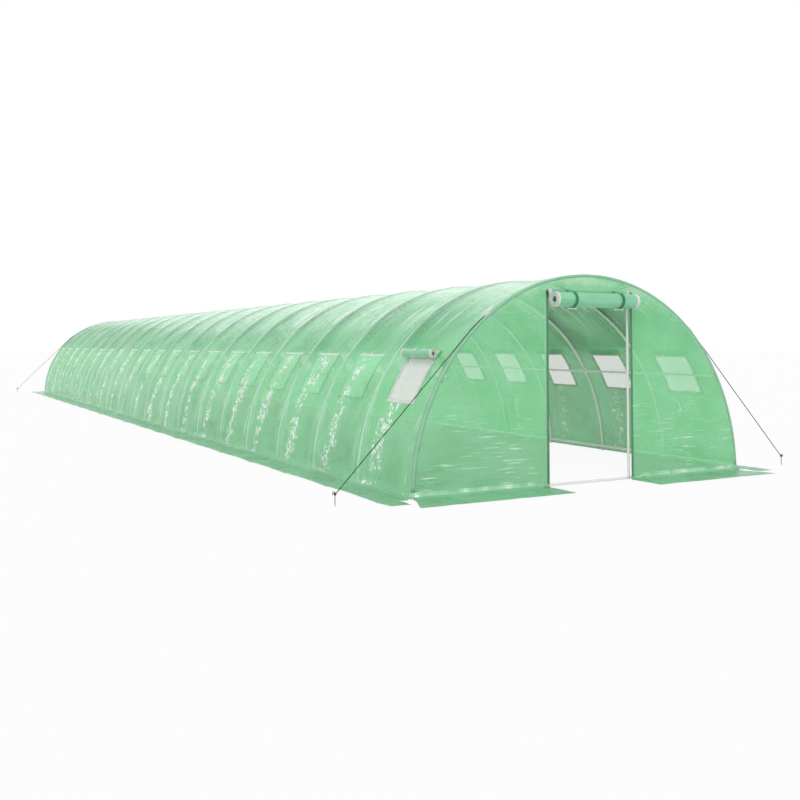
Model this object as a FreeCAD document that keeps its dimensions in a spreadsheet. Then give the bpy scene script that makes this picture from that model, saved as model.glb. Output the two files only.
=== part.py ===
import FreeCAD, Part
import math
import os
import Sketcher

Vector = FreeCAD.Vector
Rotation = FreeCAD.Rotation
Placement = FreeCAD.Placement

# A walk-in tunnel greenhouse: steel hoops under a reinforced film cover.
# X runs across the tunnel, Y along it with the front door at -Y, Z up from the ground.
# Angles round the tunnel start at the right-hand foot (+X) and rise over the ridge.

document = FreeCAD.newDocument("TunnelGreenhouse")

# ---------------------------------------------------------------- dimensions
DIMENSIONS = [
    # the tunnel as a whole
    ("cover_radius", 2000, "outer radius of the half-round cover"),
    ("bay_length", 1000, "from hoop to hoop"),
    ("bay_count", 20, "bays along the tunnel"),
    ("sheet_gauge", 2, "thickness of the cover sheets"),
    ("fit_gap", 0.3, "clearance between a sheet or tube and what it lies on"),
    # tubes and their swaged joints
    ("tube_outer", 25, "outer diameter of every frame tube"),
    ("tube_wall", 0.8, "wall of the frame tubes"),
    ("swage_clearance", 0.2, "radial clearance of a swaged end in its socket"),
    ("swage_length", 60, "length of a swaged end"),
    ("swage_neck", 10, "thickened neck behind a swaged end"),
    ("tube_joint_gap", 0.5, "gap between two tubes that are pushed together"),
    ("hoop_tube_angle", 36, "arc of one hoop tube, in degrees"),
    ("hoop_tubes_per_side", 2, "hoop tubes below the top tube, on each side"),
    ("rail_tube_bays", 2, "bays that one rail tube spans"),
    ("rail_joint_offset", 100, "rail joints lie this far past a hoop"),
    ("side_rail_angle", 30.6, "place of the side rails round the tunnel, in degrees"),
    ("base_rail_height", 60, "height of the base rails"),
    # frame screws
    ("screw_diameter", 6, "shank of a frame screw"),
    ("screw_hole", 6.4, "hole drilled for it"),
    ("screw_length", 33, "under the head"),
    ("screw_head_height", 4, "height of the hexagon head"),
    ("screw_head_across", 12, "across the corners of the head"),
    # gable frames
    ("door_half_width", 510, "from the middle of the door to its jamb"),
    ("door_height", 1830, "height of the door cut-out"),
    ("header_height", 1812, "middle of the header tube"),
    ("fitting_reach", 30, "from the middle of a fitting to its shoulder"),
    ("fitting_stub", 50, "length of a fitting's stub inside a tube"),
    ("tee_sleeve_outer", 30.6, "outer diameter of the header tee's sleeve"),
    ("tee_sleeve_bore", 25.4, "bore of the header tee's sleeve"),
    ("tee_sleeve_length", 40, "length of the header tee's sleeve"),
    # cover strips
    ("wall_strip_angle", 40, "arc of a wall strip, in degrees"),
    ("skirt_width", 310, "side skirts, out from the wall"),
    ("skirt_overrun", 200, "side skirts, past the end hoop"),
    ("skirt_notch", 150, "depth of the notch between two skirts at a corner"),
    ("gable_skirt_width", 390, "gable skirts, out from the end hoop"),
    ("gable_skirt_flare", 140, "gable skirts, past the wall at their outer corner"),
    # windows
    ("window_width", 430, "mesh opening along the tunnel"),
    ("window_low_angle", 24.2, "lower edge of the mesh opening, in degrees"),
    ("window_arc", 12.8, "height of the mesh opening, in degrees"),
    ("screen_gauge", 1.2, "thickness of the mesh screen"),
    ("screen_border", 20, "screen lap beside the opening"),
    ("screen_border_arc", 0.6, "screen lap above and below the opening, in degrees"),
    ("flap_gauge", 1.5, "thickness of a window flap or door curtain"),
    ("flap_border", 50, "flap lap beside the opening"),
    ("flap_top_angle", 38.2, "seam of a closed flap, in degrees"),
    ("flap_bottom_angle", 23.4, "lower edge of a closed flap, in degrees"),
    ("window_roll_angle", 37.6, "middle of a rolled flap, in degrees"),
    ("window_roll_outer", 94, "diameter of a rolled flap"),
    ("window_roll_hole", 34, "hole down the middle of a rolled flap"),
    ("window_roll_turns", 3, "turns in a rolled flap"),
    ("curtain_top_angle", 39.9, "seam of a rolled flap, in degrees"),
    ("strap_width", 25, "width of a tie strap"),
    ("strap_gauge", 1.5, "thickness of a tie strap"),
    ("window_strap_top_angle", 40.3, "upper end of a window strap, in degrees"),
    ("window_strap_end_angle", 27, "lower end of a window strap, in degrees"),
    # doors
    ("door_roll_outer", 155, "diameter of the rolled door"),
    ("door_roll_hole", 68, "hole down the middle of the rolled door"),
    ("door_roll_turns", 5, "turns in the rolled door"),
    ("door_roll_height", 1750, "middle of the rolled door"),
    ("door_sheet_half_width", 508, "half the width of the door sheet"),
    ("curtain_seam_height", 1850, "seam that the door sheet hangs from"),
    ("strap_seam_height", 1846, "upper end of a door strap"),
    ("door_strap_offset", 290, "from the middle of the door to a strap"),
    ("door_strap_under", 12, "how far a door strap passes the bottom of the roll, in degrees"),
    ("toggle_length", 120, "length of the toggle that ends a door strap"),
    ("toggle_diameter", 12, "diameter of that toggle"),
    # zips
    ("zip_offset", 524, "from the middle of the door to the zip"),
    ("zip_tape_width", 26, "width of the zip tape"),
    ("zip_tape_gauge", 1.2, "thickness of the zip tape"),
    ("zip_bottom", 30, "lower end of the zip"),
    ("zip_top", 1842, "upper end of the zip"),
    ("chain_neck_width", 2, "width of the neck under the zip's chain"),
    ("chain_neck_depth", 1.6, "depth of the neck under the zip's chain"),
    ("chain_width", 5, "width of the zip's chain"),
    ("chain_depth", 2.5, "depth of the zip's chain"),
    ("slider_width", 14, "width of the zip slider"),
    ("slider_depth", 7.5, "depth of the zip slider's body"),
    ("slider_height", 26, "height of the zip slider"),
    ("slider_rest", 1812, "middle of the slider with the zip open"),
    ("slider_clearance", 0.4, "clearance of the slider round the chain"),
    ("bridge_bar", 3, "diameter of the bar that carries the pull"),
    ("bridge_reach", 5.5, "from the slider's face to the bar"),
    ("bridge_lug", 2.5, "thickness of a lug of the bridge"),
    ("pull_eye_bore", 3.6, "bore of the pull's eye"),
    ("pull_eye_outer", 6.8, "outer diameter of the pull's eye"),
    ("pull_eye_width", 7, "width of the pull's eye"),
    ("pull_gauge", 2, "thickness of the pull"),
    ("pull_width", 12, "width of the pull's tab"),
    ("pull_length", 42, "length of the pull"),
    # guy ropes
    ("rope_diameter", 8, "diameter of a guy rope"),
    ("left_tab_angle", 52, "lower end of a left-hand tab, in degrees"),
    ("right_tab_angle", 46.7, "lower end of a right-hand tab, in degrees"),
    ("tab_arc", 2, "length of a tab round the tunnel, in degrees"),
    ("tab_width", 30, "width of a tab"),
    ("tab_gauge", 3, "thickness of a tab"),
    ("tab_eyelet", 12, "diameter of a tab's eyelet"),
    ("rope_start_arc", 0.15, "from a tab to the upper end of its rope, in degrees"),
    ("peg_offset", 2725, "from the middle of the tunnel to a peg"),
    ("peg_diameter", 8, "diameter of a peg"),
    ("peg_height", 112, "from the ground to where a peg's hook begins"),
    ("peg_point", 18, "length of a peg's point"),
    ("peg_hook_radius", 11, "radius of a peg's hook"),
    ("peg_hook_tail", 14, "straight end of a peg's hook"),
    ("rope_end_height", 106, "height at which a rope meets its peg"),
    ("rope_end_gap", 3.2, "from the lower end of a rope's axis to its peg"),
]

size = document.addObject("Spreadsheet::Sheet", "size")
for row, (alias, value, meaning) in enumerate(DIMENSIONS, start=1):
    size.set(f"A{row}", alias)
    size.set(f"B{row}", str(value))
    size.set(f"C{row}", meaning)
    size.setAlias(f"B{row}", alias)
document.recompute()

# ------------------------------------------------------- derived expressions
TUBE_RADIUS = "(size.tube_outer / 2)"
TUBE_BORE = "(size.tube_outer / 2 - size.tube_wall)"
SPIGOT_OUTER = f"({TUBE_BORE} - size.swage_clearance)"
SPIGOT_BORE = f"({SPIGOT_OUTER} - size.tube_wall)"
TUNNEL_LENGTH = "(size.bay_length * size.bay_count)"
COVER_INNER = "(size.cover_radius - size.sheet_gauge)"
HOOP_OUTER = f"({COVER_INNER} - size.fit_gap)"
HOOP_RADIUS = f"({HOOP_OUTER} - {TUBE_RADIUS})"
TUBE_STEP = "(size.tube_outer + size.fit_gap)"
RAIL_RADIUS = f"({HOOP_RADIUS} - {TUBE_STEP})"
BASE_RAIL_ANGLE = f"(asin(size.base_rail_height / {RAIL_RADIUS}) / (1 deg))"
GABLE_INNER = f"({TUBE_RADIUS} + size.fit_gap)"
GABLE_OUTER = f"({GABLE_INNER} + size.sheet_gauge)"
ON_GABLE = f"({GABLE_OUTER} + size.fit_gap)"
COVER_HALF_LENGTH = f"({TUNNEL_LENGTH} / 2 + {GABLE_INNER})"
ON_COVER = "(size.cover_radius + size.fit_gap)"
DEGREES_PER_HOOP_MM = f"(180 / pi / {HOOP_RADIUS})"
DOOR_ROLL_RADIUS = "(size.door_roll_outer / 2)"
DOOR_ROLL_OUT = f"({ON_GABLE} + {DOOR_ROLL_RADIUS})"
WINDOW_ROLL_RADIUS = "(size.window_roll_outer / 2)"
WINDOW_ROLL_CENTRE = f"({ON_COVER} + {WINDOW_ROLL_RADIUS})"
FLAP_WIDTH = "(size.window_width + 2 * size.flap_border)"


def number(expression):
    """The value of an expression on the sheet, as a plain number."""
    value = size.evalExpression(str(expression))
    return float(getattr(value, "Value", value))


# ------------------------------------------------------------ small helpers
def label(made, name):
    made.Label = name
    return made


def new_body(name):
    made = document.addObject("PartDesign::Body", name)
    made.AllowCompound = True
    return made


def origin_feature(body, role):
    return next(f for f in body.Origin.OriginFeatures if f.Role == role)


def sketch_on(body, role, name, offset="0", turn="0"):
    """A sketch on an origin plane, moved along the plane's normal or turned about Y."""
    made = body.newObject("Sketcher::SketchObject", name)
    made.AttachmentSupport = [(origin_feature(body, role), "")]
    made.MapMode = "FlatFace"
    if number(turn):
        turned = Rotation(Vector(0, -1, 0), number(turn))
        made.AttachmentOffset = Placement(Vector(0, 0, 0), turned)
        made.setExpression("AttachmentOffset.Rotation.Angle", turn)
    if number(offset):
        made.setExpression("AttachmentOffset.Base.z", offset)
    return made


def hold(sketch, direction, geometry, point, expression):
    """Hold a point of the sketch at a signed distance from the sketch's origin."""
    value = number(expression)
    if abs(value) < 1e-9:
        axis = -2 if direction == "DistanceX" else -1
        sketch.addConstraint(Sketcher.Constraint("PointOnObject", geometry, point, axis))
        return
    ends = (-1, 1, geometry, point) if value > 0 else (geometry, point, -1, 1)
    signed = expression if value > 0 else f"-({expression})"
    index = sketch.addConstraint(Sketcher.Constraint(direction, *ends, abs(value)))
    sketch.setExpression(f"Constraints[{index}]", signed)


def add_circle(sketch, x, y, radius):
    centre = Vector(number(x), number(y), 0)
    circle = sketch.addGeometry(Part.Circle(centre, Vector(0, 0, 1), number(radius)))
    hold(sketch, "DistanceX", circle, 3, x)
    hold(sketch, "DistanceY", circle, 3, y)
    index = sketch.addConstraint(Sketcher.Constraint("Radius", circle, number(radius)))
    sketch.setExpression(f"Constraints[{index}]", radius)


def add_polygon(sketch, corners):
    """A closed outline of straight lines, each corner held by its two distances."""
    points = [Vector(number(x), number(y), 0) for x, y in corners]
    lines = [
        sketch.addGeometry(Part.LineSegment(a, b))
        for a, b in zip(points, points[1:] + points[:1])
    ]
    for line, following in zip(lines, lines[1:] + lines[:1]):
        sketch.addConstraint(Sketcher.Constraint("Coincident", line, 2, following, 1))
    for line, (x, y) in zip(lines, corners):
        hold(sketch, "DistanceX", line, 1, x)
        hold(sketch, "DistanceY", line, 1, y)


def add_rectangle(sketch, x_low, x_high, y_low, y_high):
    add_polygon(sketch, [(x_low, y_low), (x_high, y_low), (x_high, y_high), (x_low, y_high)])


def pad(body, sketch, length, backwards=False, midplane=False):
    made = body.newObject("PartDesign::Pad", f"{sketch.Name}_pad")
    made.Profile = sketch
    made.Midplane = midplane
    made.Reversed = backwards
    made.setExpression("Length", length)
    sketch.Visibility = False
    return made


def turn_about_y(body, sketch, angle, kind="Revolution"):
    """Sweep the sketch upwards round the tunnel's axis, to add or to cut."""
    made = body.newObject(f"PartDesign::{kind}", f"{sketch.Name}_{kind.lower()}")
    made.Profile = sketch
    made.ReferenceAxis = (sketch, ["V_Axis"])
    made.Reversed = True
    made.setExpression("Angle", angle)
    return made


def row_along_y(body, originals, length, count):
    made = body.newObject("PartDesign::LinearPattern", f"{originals[0].Name}_row")
    made.Originals = originals
    made.Direction = (origin_feature(body, "Y_Axis"), [""])
    made.setExpression("Length", length)
    made.setExpression("Occurrences", count)
    body.Tip = made
    return made


def mirror_across_x(body, originals):
    made = body.newObject("PartDesign::Mirrored", f"{originals[0].Name}_mirror")
    made.Originals = originals
    made.MirrorPlane = (origin_feature(body, "YZ_Plane"), [""])
    body.Tip = made
    return made


def turn_body(body, angle):
    """Turn a body upwards round the tunnel's axis."""
    if number(angle):
        body.Placement = Placement(Vector(), Rotation(Vector(0, -1, 0), number(angle)))
        body.setExpression("Placement.Rotation.Angle", angle)


def start_at_front(body):
    """Let a body's own y = 0 be the plane of the front hoop."""
    body.setExpression("Placement.Base.y", f"-{TUNNEL_LENGTH} / 2")


def feature(name, shape):
    made = document.addObject("Part::Feature", name)
    made.Shape = shape
    return made


def group(name, links):
    made = document.addObject("Part::Compound", name)
    made.Links = links
    return made


def mirrored(source):
    made = document.addObject("Part::Mirroring", f"{source.Name}_mirrored")
    made.Source = source
    made.Base = Vector(0, 0, 0)
    made.Normal = Vector(1, 0, 0)
    return made


def at_end(name, links, rear):
    """Place what was drawn for a gable: its own y = 0 is the end hoop's plane,
    outside is -y, and the rear gable is the front one turned about Z."""
    made = group(name, links)
    if rear:
        made.Placement = Placement(Vector(), Rotation(Vector(0, 0, 1), 180))
    sign = "" if rear else "-"
    made.setExpression("Placement.Base.y", f"{sign}{TUNNEL_LENGTH} / 2")
    return made


def at_both_ends(name, links):
    ends = [at_end(f"{name}_front", links, False), at_end(f"{name}_rear", links, True)]
    return group(f"{name}_both", ends)


subparts = []


def finish(made, name):
    """Name a sub-part; its label names its file."""
    subparts.append(label(made, name))
    return made


# -------------------------------------------------------------- frame screws
# Every screw is driven outwards from inside the tunnel, through the inner tube
# and into the near wall of the outer one. The holes share the screws' places.
def screw_placements():
    half_tube = number(TUBE_RADIUS)
    tunnel = number(TUNNEL_LENGTH)
    bays = round(number("size.bay_count"))
    side, base = number("size.side_rail_angle"), number(BASE_RAIL_ANGLE)
    placed = []
    for angle in (base, side, 90, 180 - side, 180 - base):
        outwards = Vector(math.cos(math.radians(angle)), 0, math.sin(math.radians(angle)))
        start = outwards * (number(RAIL_RADIUS) - half_tube)
        for hoop in range(bays + 1):
            place = start + Vector(0, hoop * number("size.bay_length") - tunnel / 2, 0)
            placed.append(Placement(place, Rotation(Vector(0, 0, 1), outwards)))
    post, hoop_radius = number("size.door_half_width"), number(HOOP_RADIUS)
    post_height = math.sqrt(hoop_radius**2 - post**2)
    foot = math.sqrt(hoop_radius**2 - half_tube**2)
    behind = tunnel / 2 - number(TUBE_STEP) - half_tube
    for x, z in ((post, post_height), (foot, half_tube)):
        for side_sign in (-1, 1):
            for end_sign in (-1, 1):
                place = Vector(side_sign * x, end_sign * behind, z)
                outwards = Vector(0, end_sign, 0)
                placed.append(Placement(place, Rotation(Vector(0, 0, 1), outwards)))
    return placed


def repeated(shape, placements):
    copies = []
    for placement in placements:
        copied = shape.copy()
        copied.Placement = placement.multiply(copied.Placement)
        copies.append(copied)
    return Part.makeCompound(copies)


def make_screws():
    shank = document.addObject("Part::Cylinder", "screw_shank")
    shank.setExpression("Radius", "size.screw_diameter / 2")
    shank.setExpression("Height", "size.screw_length")
    head = document.addObject("Part::Prism", "screw_head")
    head.Polygon = 6
    head.setExpression("Circumradius", "size.screw_head_across / 2")
    head.setExpression("Height", "size.screw_head_height")
    head.setExpression("Placement.Base.z", "-size.screw_head_height")
    screw = document.addObject("Part::Fuse", "screw")
    screw.Base, screw.Tool = shank, head
    hole = document.addObject("Part::Cylinder", "screw_drill")
    hole.setExpression("Radius", "size.screw_hole / 2")
    hole.setExpression("Height", "size.screw_length + size.fit_gap")
    hole.setExpression("Placement.Base.z", "-size.fit_gap")
    document.recompute()
    placements = screw_placements()
    finish(feature("screws", repeated(screw.Shape, placements)), "frame_screws")
    return repeated(hole.Shape, placements).Solids


def drilled(source, name, drills):
    """Drill the tubes of a row one by one, and keep the row as one sub-part."""
    document.recompute()
    tubes = []
    for tube in source.Shape.Solids:
        near = [drill for drill in drills if drill.BoundBox.intersect(tube.BoundBox)]
        tubes.extend(tube.cut(near).Solids if near else [tube])
    return finish(feature(f"{name}_drilled", Part.makeCompound(tubes)), name)


# --------------------------------------------------------------------- hoops
def hoop_tube_row(name, index, swaged, drills):
    """One bent tube of every hoop, with a swaged end that enters the next tube."""
    body = new_body(f"{name}_body")
    angle = "size.hoop_tube_angle"
    gap = f"(size.tube_joint_gap * {DEGREES_PER_HOOP_MM})"
    neck = f"(size.swage_neck * {DEGREES_PER_HOOP_MM})"
    tube = sketch_on(body, "XY_Plane", f"{name}_tube")
    add_circle(tube, HOOP_RADIUS, "0", TUBE_RADIUS)
    add_circle(tube, HOOP_RADIUS, "0", TUBE_BORE)
    features = [turn_about_y(body, tube, f"{angle} - {gap}" if swaged else angle)]
    if swaged:
        collar = sketch_on(body, "XY_Plane", f"{name}_neck", turn=f"{angle} - {gap} - {neck}")
        add_circle(collar, HOOP_RADIUS, "0", TUBE_RADIUS)
        add_circle(collar, HOOP_RADIUS, "0", SPIGOT_BORE)
        features.append(turn_about_y(body, collar, neck))
        spigot = sketch_on(body, "XY_Plane", f"{name}_swage", turn=f"{angle} - {gap}")
        add_circle(spigot, HOOP_RADIUS, "0", SPIGOT_OUTER)
        add_circle(spigot, HOOP_RADIUS, "0", SPIGOT_BORE)
        swage = f"(size.swage_length * {DEGREES_PER_HOOP_MM})"
        features.append(turn_about_y(body, spigot, swage))
    row_along_y(body, features, TUNNEL_LENGTH, "size.bay_count + 1")
    turn_body(body, f"{index} * {angle}")
    start_at_front(body)
    drilled(body, name, drills)


# --------------------------------------------------------------------- rails
def rail(name, angle):
    """Straight tubes with swaged ends, laid end to end along the tunnel."""
    body = new_body(f"{name}_body")
    span = "(size.rail_tube_bays * size.bay_length)"
    first_joint = f"({span} + size.rail_joint_offset)"
    whole_count = "(size.bay_count / size.rail_tube_bays)"
    last_joint = f"(({whole_count} - 1) * {span} + size.rail_joint_offset)"

    def ring(part, start, length, outer, bore):
        made = sketch_on(body, "XZ_Plane", f"{name}_{part}", offset=f"-({start})")
        add_circle(made, RAIL_RADIUS, "0", outer)
        add_circle(made, RAIL_RADIUS, "0", bore)
        return pad(body, made, length, backwards=True)

    ring("first", f"(-{TUBE_RADIUS})", f"{first_joint} + {TUBE_RADIUS} - size.tube_joint_gap",
         TUBE_RADIUS, TUBE_BORE)
    ring("last", last_joint, f"{TUNNEL_LENGTH} + {TUBE_RADIUS} - {last_joint}",
         TUBE_RADIUS, TUBE_BORE)
    middle = ring("middle", first_joint, f"{span} - size.tube_joint_gap",
                  TUBE_RADIUS, TUBE_BORE)
    row_along_y(body, [middle], f"({whole_count} - 3) * {span}", f"{whole_count} - 2")
    collar = ring("neck", f"{first_joint} - size.tube_joint_gap - size.swage_neck",
                  "size.swage_neck", TUBE_RADIUS, SPIGOT_BORE)
    spigot = ring("swage", f"{first_joint} - size.tube_joint_gap",
                  "size.tube_joint_gap + size.swage_length", SPIGOT_OUTER, SPIGOT_BORE)
    row_along_y(body, [collar, spigot], f"({whole_count} - 2) * {span}",
                f"{whole_count} - 1")
    turn_body(body, angle)
    start_at_front(body)
    return body


def make_rails(drills):
    drilled(rail("ridge_rail_tubes", "90"), "ridge_rail_tubes", drills)
    pairs = [
        ("side_rail_tubes", "size.side_rail_angle"),
        ("base_rail_tubes", BASE_RAIL_ANGLE),
    ]
    for name, angle in pairs:
        right = rail(f"{name}_right", angle)
        left = rail(f"{name}_left", f"180 - {angle}")
        drilled(group(f"{name}_pair", [right, left]), name, drills)


# -------------------------------------------------------------- gable frames
def upright_tube(name, x, y, low, high):
    body = new_body(f"{name}_body")
    section = sketch_on(body, "XY_Plane", f"{name}_section", offset=low)
    add_circle(section, x, y, TUBE_RADIUS)
    add_circle(section, x, y, TUBE_BORE)
    mirror_across_x(body, [pad(body, section, f"{high} - {low}")])
    return body


def cross_tube(name, y, z, low, high, pair=False):
    body = new_body(f"{name}_body")
    section = sketch_on(body, "YZ_Plane", f"{name}_section", offset=low)
    add_circle(section, y, z, TUBE_RADIUS)
    add_circle(section, y, z, TUBE_BORE)
    bar = pad(body, section, f"{high} - ({low})")
    if pair:
        mirror_across_x(body, [bar])
    return body


def cylinder(name, radius, height, base, axis):
    """A cylinder with bound sizes; base holds three expressions, axis a direction."""
    made = document.addObject("Part::Cylinder", name)
    made.Placement = Placement(Vector(), Rotation(Vector(0, 0, 1), axis))
    made.setExpression("Radius", radius)
    made.setExpression("Height", height)
    for coordinate, expression in zip("xyz", base):
        made.setExpression(f"Placement.Base.{coordinate}", expression)
    return made


def box(name, lengths, base):
    made = document.addObject("Part::Box", name)
    for side, expression in zip(("Length", "Width", "Height"), lengths):
        made.setExpression(side, expression)
    for coordinate, expression in zip("xyz", base):
        made.setExpression(f"Placement.Base.{coordinate}", expression)
    return made


def fused(name, parts):
    made = document.addObject("Part::MultiFuse", name)
    made.Shapes = parts
    return made


def cut(name, base, tool):
    made = document.addObject("Part::Cut", name)
    made.Base, made.Tool = base, tool
    return made


def make_gable_frames(drills):
    post, behind = "size.door_half_width", TUBE_STEP
    shoulder = "(size.fitting_reach + size.tube_joint_gap)"
    post_top = f"(sqrt({HOOP_OUTER}^2 - ({post} + {TUBE_RADIUS})^2) - size.fit_gap)"
    near, far = f"({post} - {shoulder})", f"({post} + {shoulder})"
    posts = upright_tube("post", post, behind, f"({TUBE_RADIUS} + {shoulder})", post_top)
    header = cross_tube("header", behind, "size.header_height", f"-{near}", near)
    sill = cross_tube("sill", behind, TUBE_RADIUS, f"-{near}", near)
    base = cross_tube("gable_base", behind, TUBE_RADIUS, far, HOOP_OUTER, pair=True)
    drilled(at_both_ends("posts", [posts]), "door_posts", drills)
    finish(at_both_ends("headers", [header]), "door_headers")
    finish(at_both_ends("sills", [sill]), "door_sills")
    drilled(at_both_ends("bases", [base]), "gable_base_tubes", drills)


def make_fittings():
    """Header tees with a sleeve round the post, and foot tees inside the tubes."""
    x, y = "size.door_half_width", TUBE_STEP
    inwards, outwards, up = Vector(-1, 0, 0), Vector(1, 0, 0), Vector(0, 0, 1)
    reach = "size.fitting_reach"
    stub = "(size.fitting_reach + size.fitting_stub)"
    sleeve = [x, y, "size.header_height - size.tee_sleeve_length / 2"]
    header = [x, y, "size.header_height"]
    tee = fused("header_tee_solid", [
        cylinder("tee_sleeve", "size.tee_sleeve_outer / 2", "size.tee_sleeve_length",
                 sleeve, up),
        cylinder("tee_branch", TUBE_RADIUS, reach, header, inwards),
        cylinder("tee_stub", SPIGOT_OUTER, stub, header, inwards),
    ])
    bore = cylinder("tee_bore", "size.tee_sleeve_bore / 2", "size.tee_sleeve_length",
                    sleeve, up)
    header_tee = cut("header_tee", tee, bore)
    foot = [x, y, TUBE_RADIUS]
    foot_tee = fused("foot_tee", [
        cylinder("foot_barrel", TUBE_RADIUS, f"2 * {reach}",
                 [f"{x} - {reach}", y, TUBE_RADIUS], outwards),
        cylinder("foot_riser", TUBE_RADIUS, reach, foot, up),
        cylinder("foot_stub_across", SPIGOT_OUTER, f"2 * {stub}",
                 [f"{x} - {stub}", y, TUBE_RADIUS], outwards),
        cylinder("foot_stub_up", SPIGOT_OUTER, stub, foot, up),
    ])
    finish(at_both_ends("headers_tees", [header_tee, mirrored(header_tee)]), "header_tees")
    finish(at_both_ends("feet_tees", [foot_tee, mirrored(foot_tee)]), "foot_tees")


# --------------------------------------------------------------------- cover
def arc_panel(body, name, inner, gauge, low_y, high_y, arc, turn="0", kind="Revolution"):
    """A sheet bent round the tunnel: a thin rectangle turned about Y."""
    outline = sketch_on(body, "XY_Plane", name, turn=turn)
    add_rectangle(outline, inner, f"{inner} + {gauge}", low_y, high_y)
    return turn_about_y(body, outline, arc, kind)


def cover_strip(name, start, arc):
    body = new_body(f"{name}_body")
    arc_panel(body, f"{name}_sheet", COVER_INNER, "size.sheet_gauge",
              f"-{COVER_HALF_LENGTH}", COVER_HALF_LENGTH, arc)
    turn_body(body, start)
    finish(body, name)


def bay_row(body, name, inner, gauge, width, arc, first_bay=1):
    """The same panel in the middle of every bay, from the first bay named here."""
    middle = f"(({first_bay} - 0.5) * size.bay_length - {TUNNEL_LENGTH} / 2)"
    panel = arc_panel(body, name, inner, gauge, f"{middle} - {width} / 2",
                      f"{middle} + {width} / 2", arc)
    row_along_y(body, [panel], f"{TUNNEL_LENGTH} - {first_bay} * size.bay_length",
                f"size.bay_count + 1 - {first_bay}")


def window_wall(name, start, window_start):
    """A wall strip with a window opening in every bay. It grows bay by bay, so that
    no face is longer than a bay, and a hem past each end hoop closes it."""
    body = new_body(f"{name}_body")
    arc, middle = "size.wall_strip_angle", f"((size.bay_length - {TUNNEL_LENGTH}) / 2)"
    bay = arc_panel(body, f"{name}_bay", COVER_INNER, "size.sheet_gauge",
                    f"{middle} - size.bay_length / 2", f"{middle} + size.bay_length / 2", arc)
    window = arc_panel(
        body, f"{name}_window", f"({COVER_INNER} - size.sheet_gauge)", "3 * size.sheet_gauge",
        f"{middle} - size.window_width / 2", f"{middle} + size.window_width / 2",
        "size.window_arc", window_start, "Groove")
    row = row_along_y(body, [bay, window], f"{TUNNEL_LENGTH} - size.bay_length",
                      "size.bay_count")
    inner_end, outer_end = f"({TUNNEL_LENGTH} / 2)", COVER_HALF_LENGTH
    front = arc_panel(body, f"{name}_front_hem", COVER_INNER, "size.sheet_gauge",
                      f"-{outer_end}", f"-{inner_end}", arc)
    rear = arc_panel(body, f"{name}_rear_hem", COVER_INNER, "size.sheet_gauge",
                     inner_end, outer_end, arc)
    for made in (bay, window, row, front, rear):
        made.Refine = False
    body.Tip = rear
    turn_body(body, start)
    finish(body, name)


def make_cover():
    wall, roof = "size.wall_strip_angle", "(90 - size.wall_strip_angle)"
    window_top = "(size.window_low_angle + size.window_arc)"
    window_wall("cover_right_wall", "0", "size.window_low_angle")
    cover_strip("cover_right_roof", wall, roof)
    cover_strip("cover_left_roof", "90", roof)
    window_wall("cover_left_wall", f"180 - {wall}", f"{wall} - {window_top}")


def make_gable_sheets():
    """Each gable is a half disc with the door cut out of it."""
    body = new_body("gable_body")
    sketch = sketch_on(body, "XZ_Plane", "gable_outline", offset=GABLE_INNER)
    half, height = "size.door_half_width", "size.door_height"
    r, x, z = number("size.cover_radius"), number(half), number(height)
    circle = Part.Circle(Vector(), Vector(0, 0, 1), r)
    arc = sketch.addGeometry(Part.ArcOfCircle(circle, 0, math.pi))
    points = [Vector(a, b, 0) for a, b in
              [(-r, 0), (-x, 0), (-x, z), (x, z), (x, 0), (r, 0)]]
    lines = [sketch.addGeometry(Part.LineSegment(a, b)) for a, b in zip(points, points[1:])]
    loop = [arc, *lines, arc]
    joined = [2, *([2] * len(lines))]
    for index, (one, other) in enumerate(zip(loop, loop[1:])):
        sketch.addConstraint(Sketcher.Constraint("Coincident", one, joined[index], other, 1))
    sketch.addConstraint(Sketcher.Constraint("Coincident", arc, 3, -1, 1))
    sketch.addConstraint(Sketcher.Constraint("PointOnObject", arc, 1, -1))
    sketch.addConstraint(Sketcher.Constraint("PointOnObject", arc, 2, -1))
    index = sketch.addConstraint(Sketcher.Constraint("Radius", arc, r))
    sketch.setExpression(f"Constraints[{index}]", "size.cover_radius")
    held = [(f"-{half}", "0"), (f"-{half}", height), (half, height), (half, "0")]
    for line, (across, up) in zip(lines[1:], held):
        hold(sketch, "DistanceX", line, 1, across)
        hold(sketch, "DistanceY", line, 1, up)
    pad(body, sketch, "size.sheet_gauge")
    finish(at_end("gable_front", [body], False), "front_gable_sheet")
    finish(at_end("gable_rear", [body], True), "rear_gable_sheet")


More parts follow.
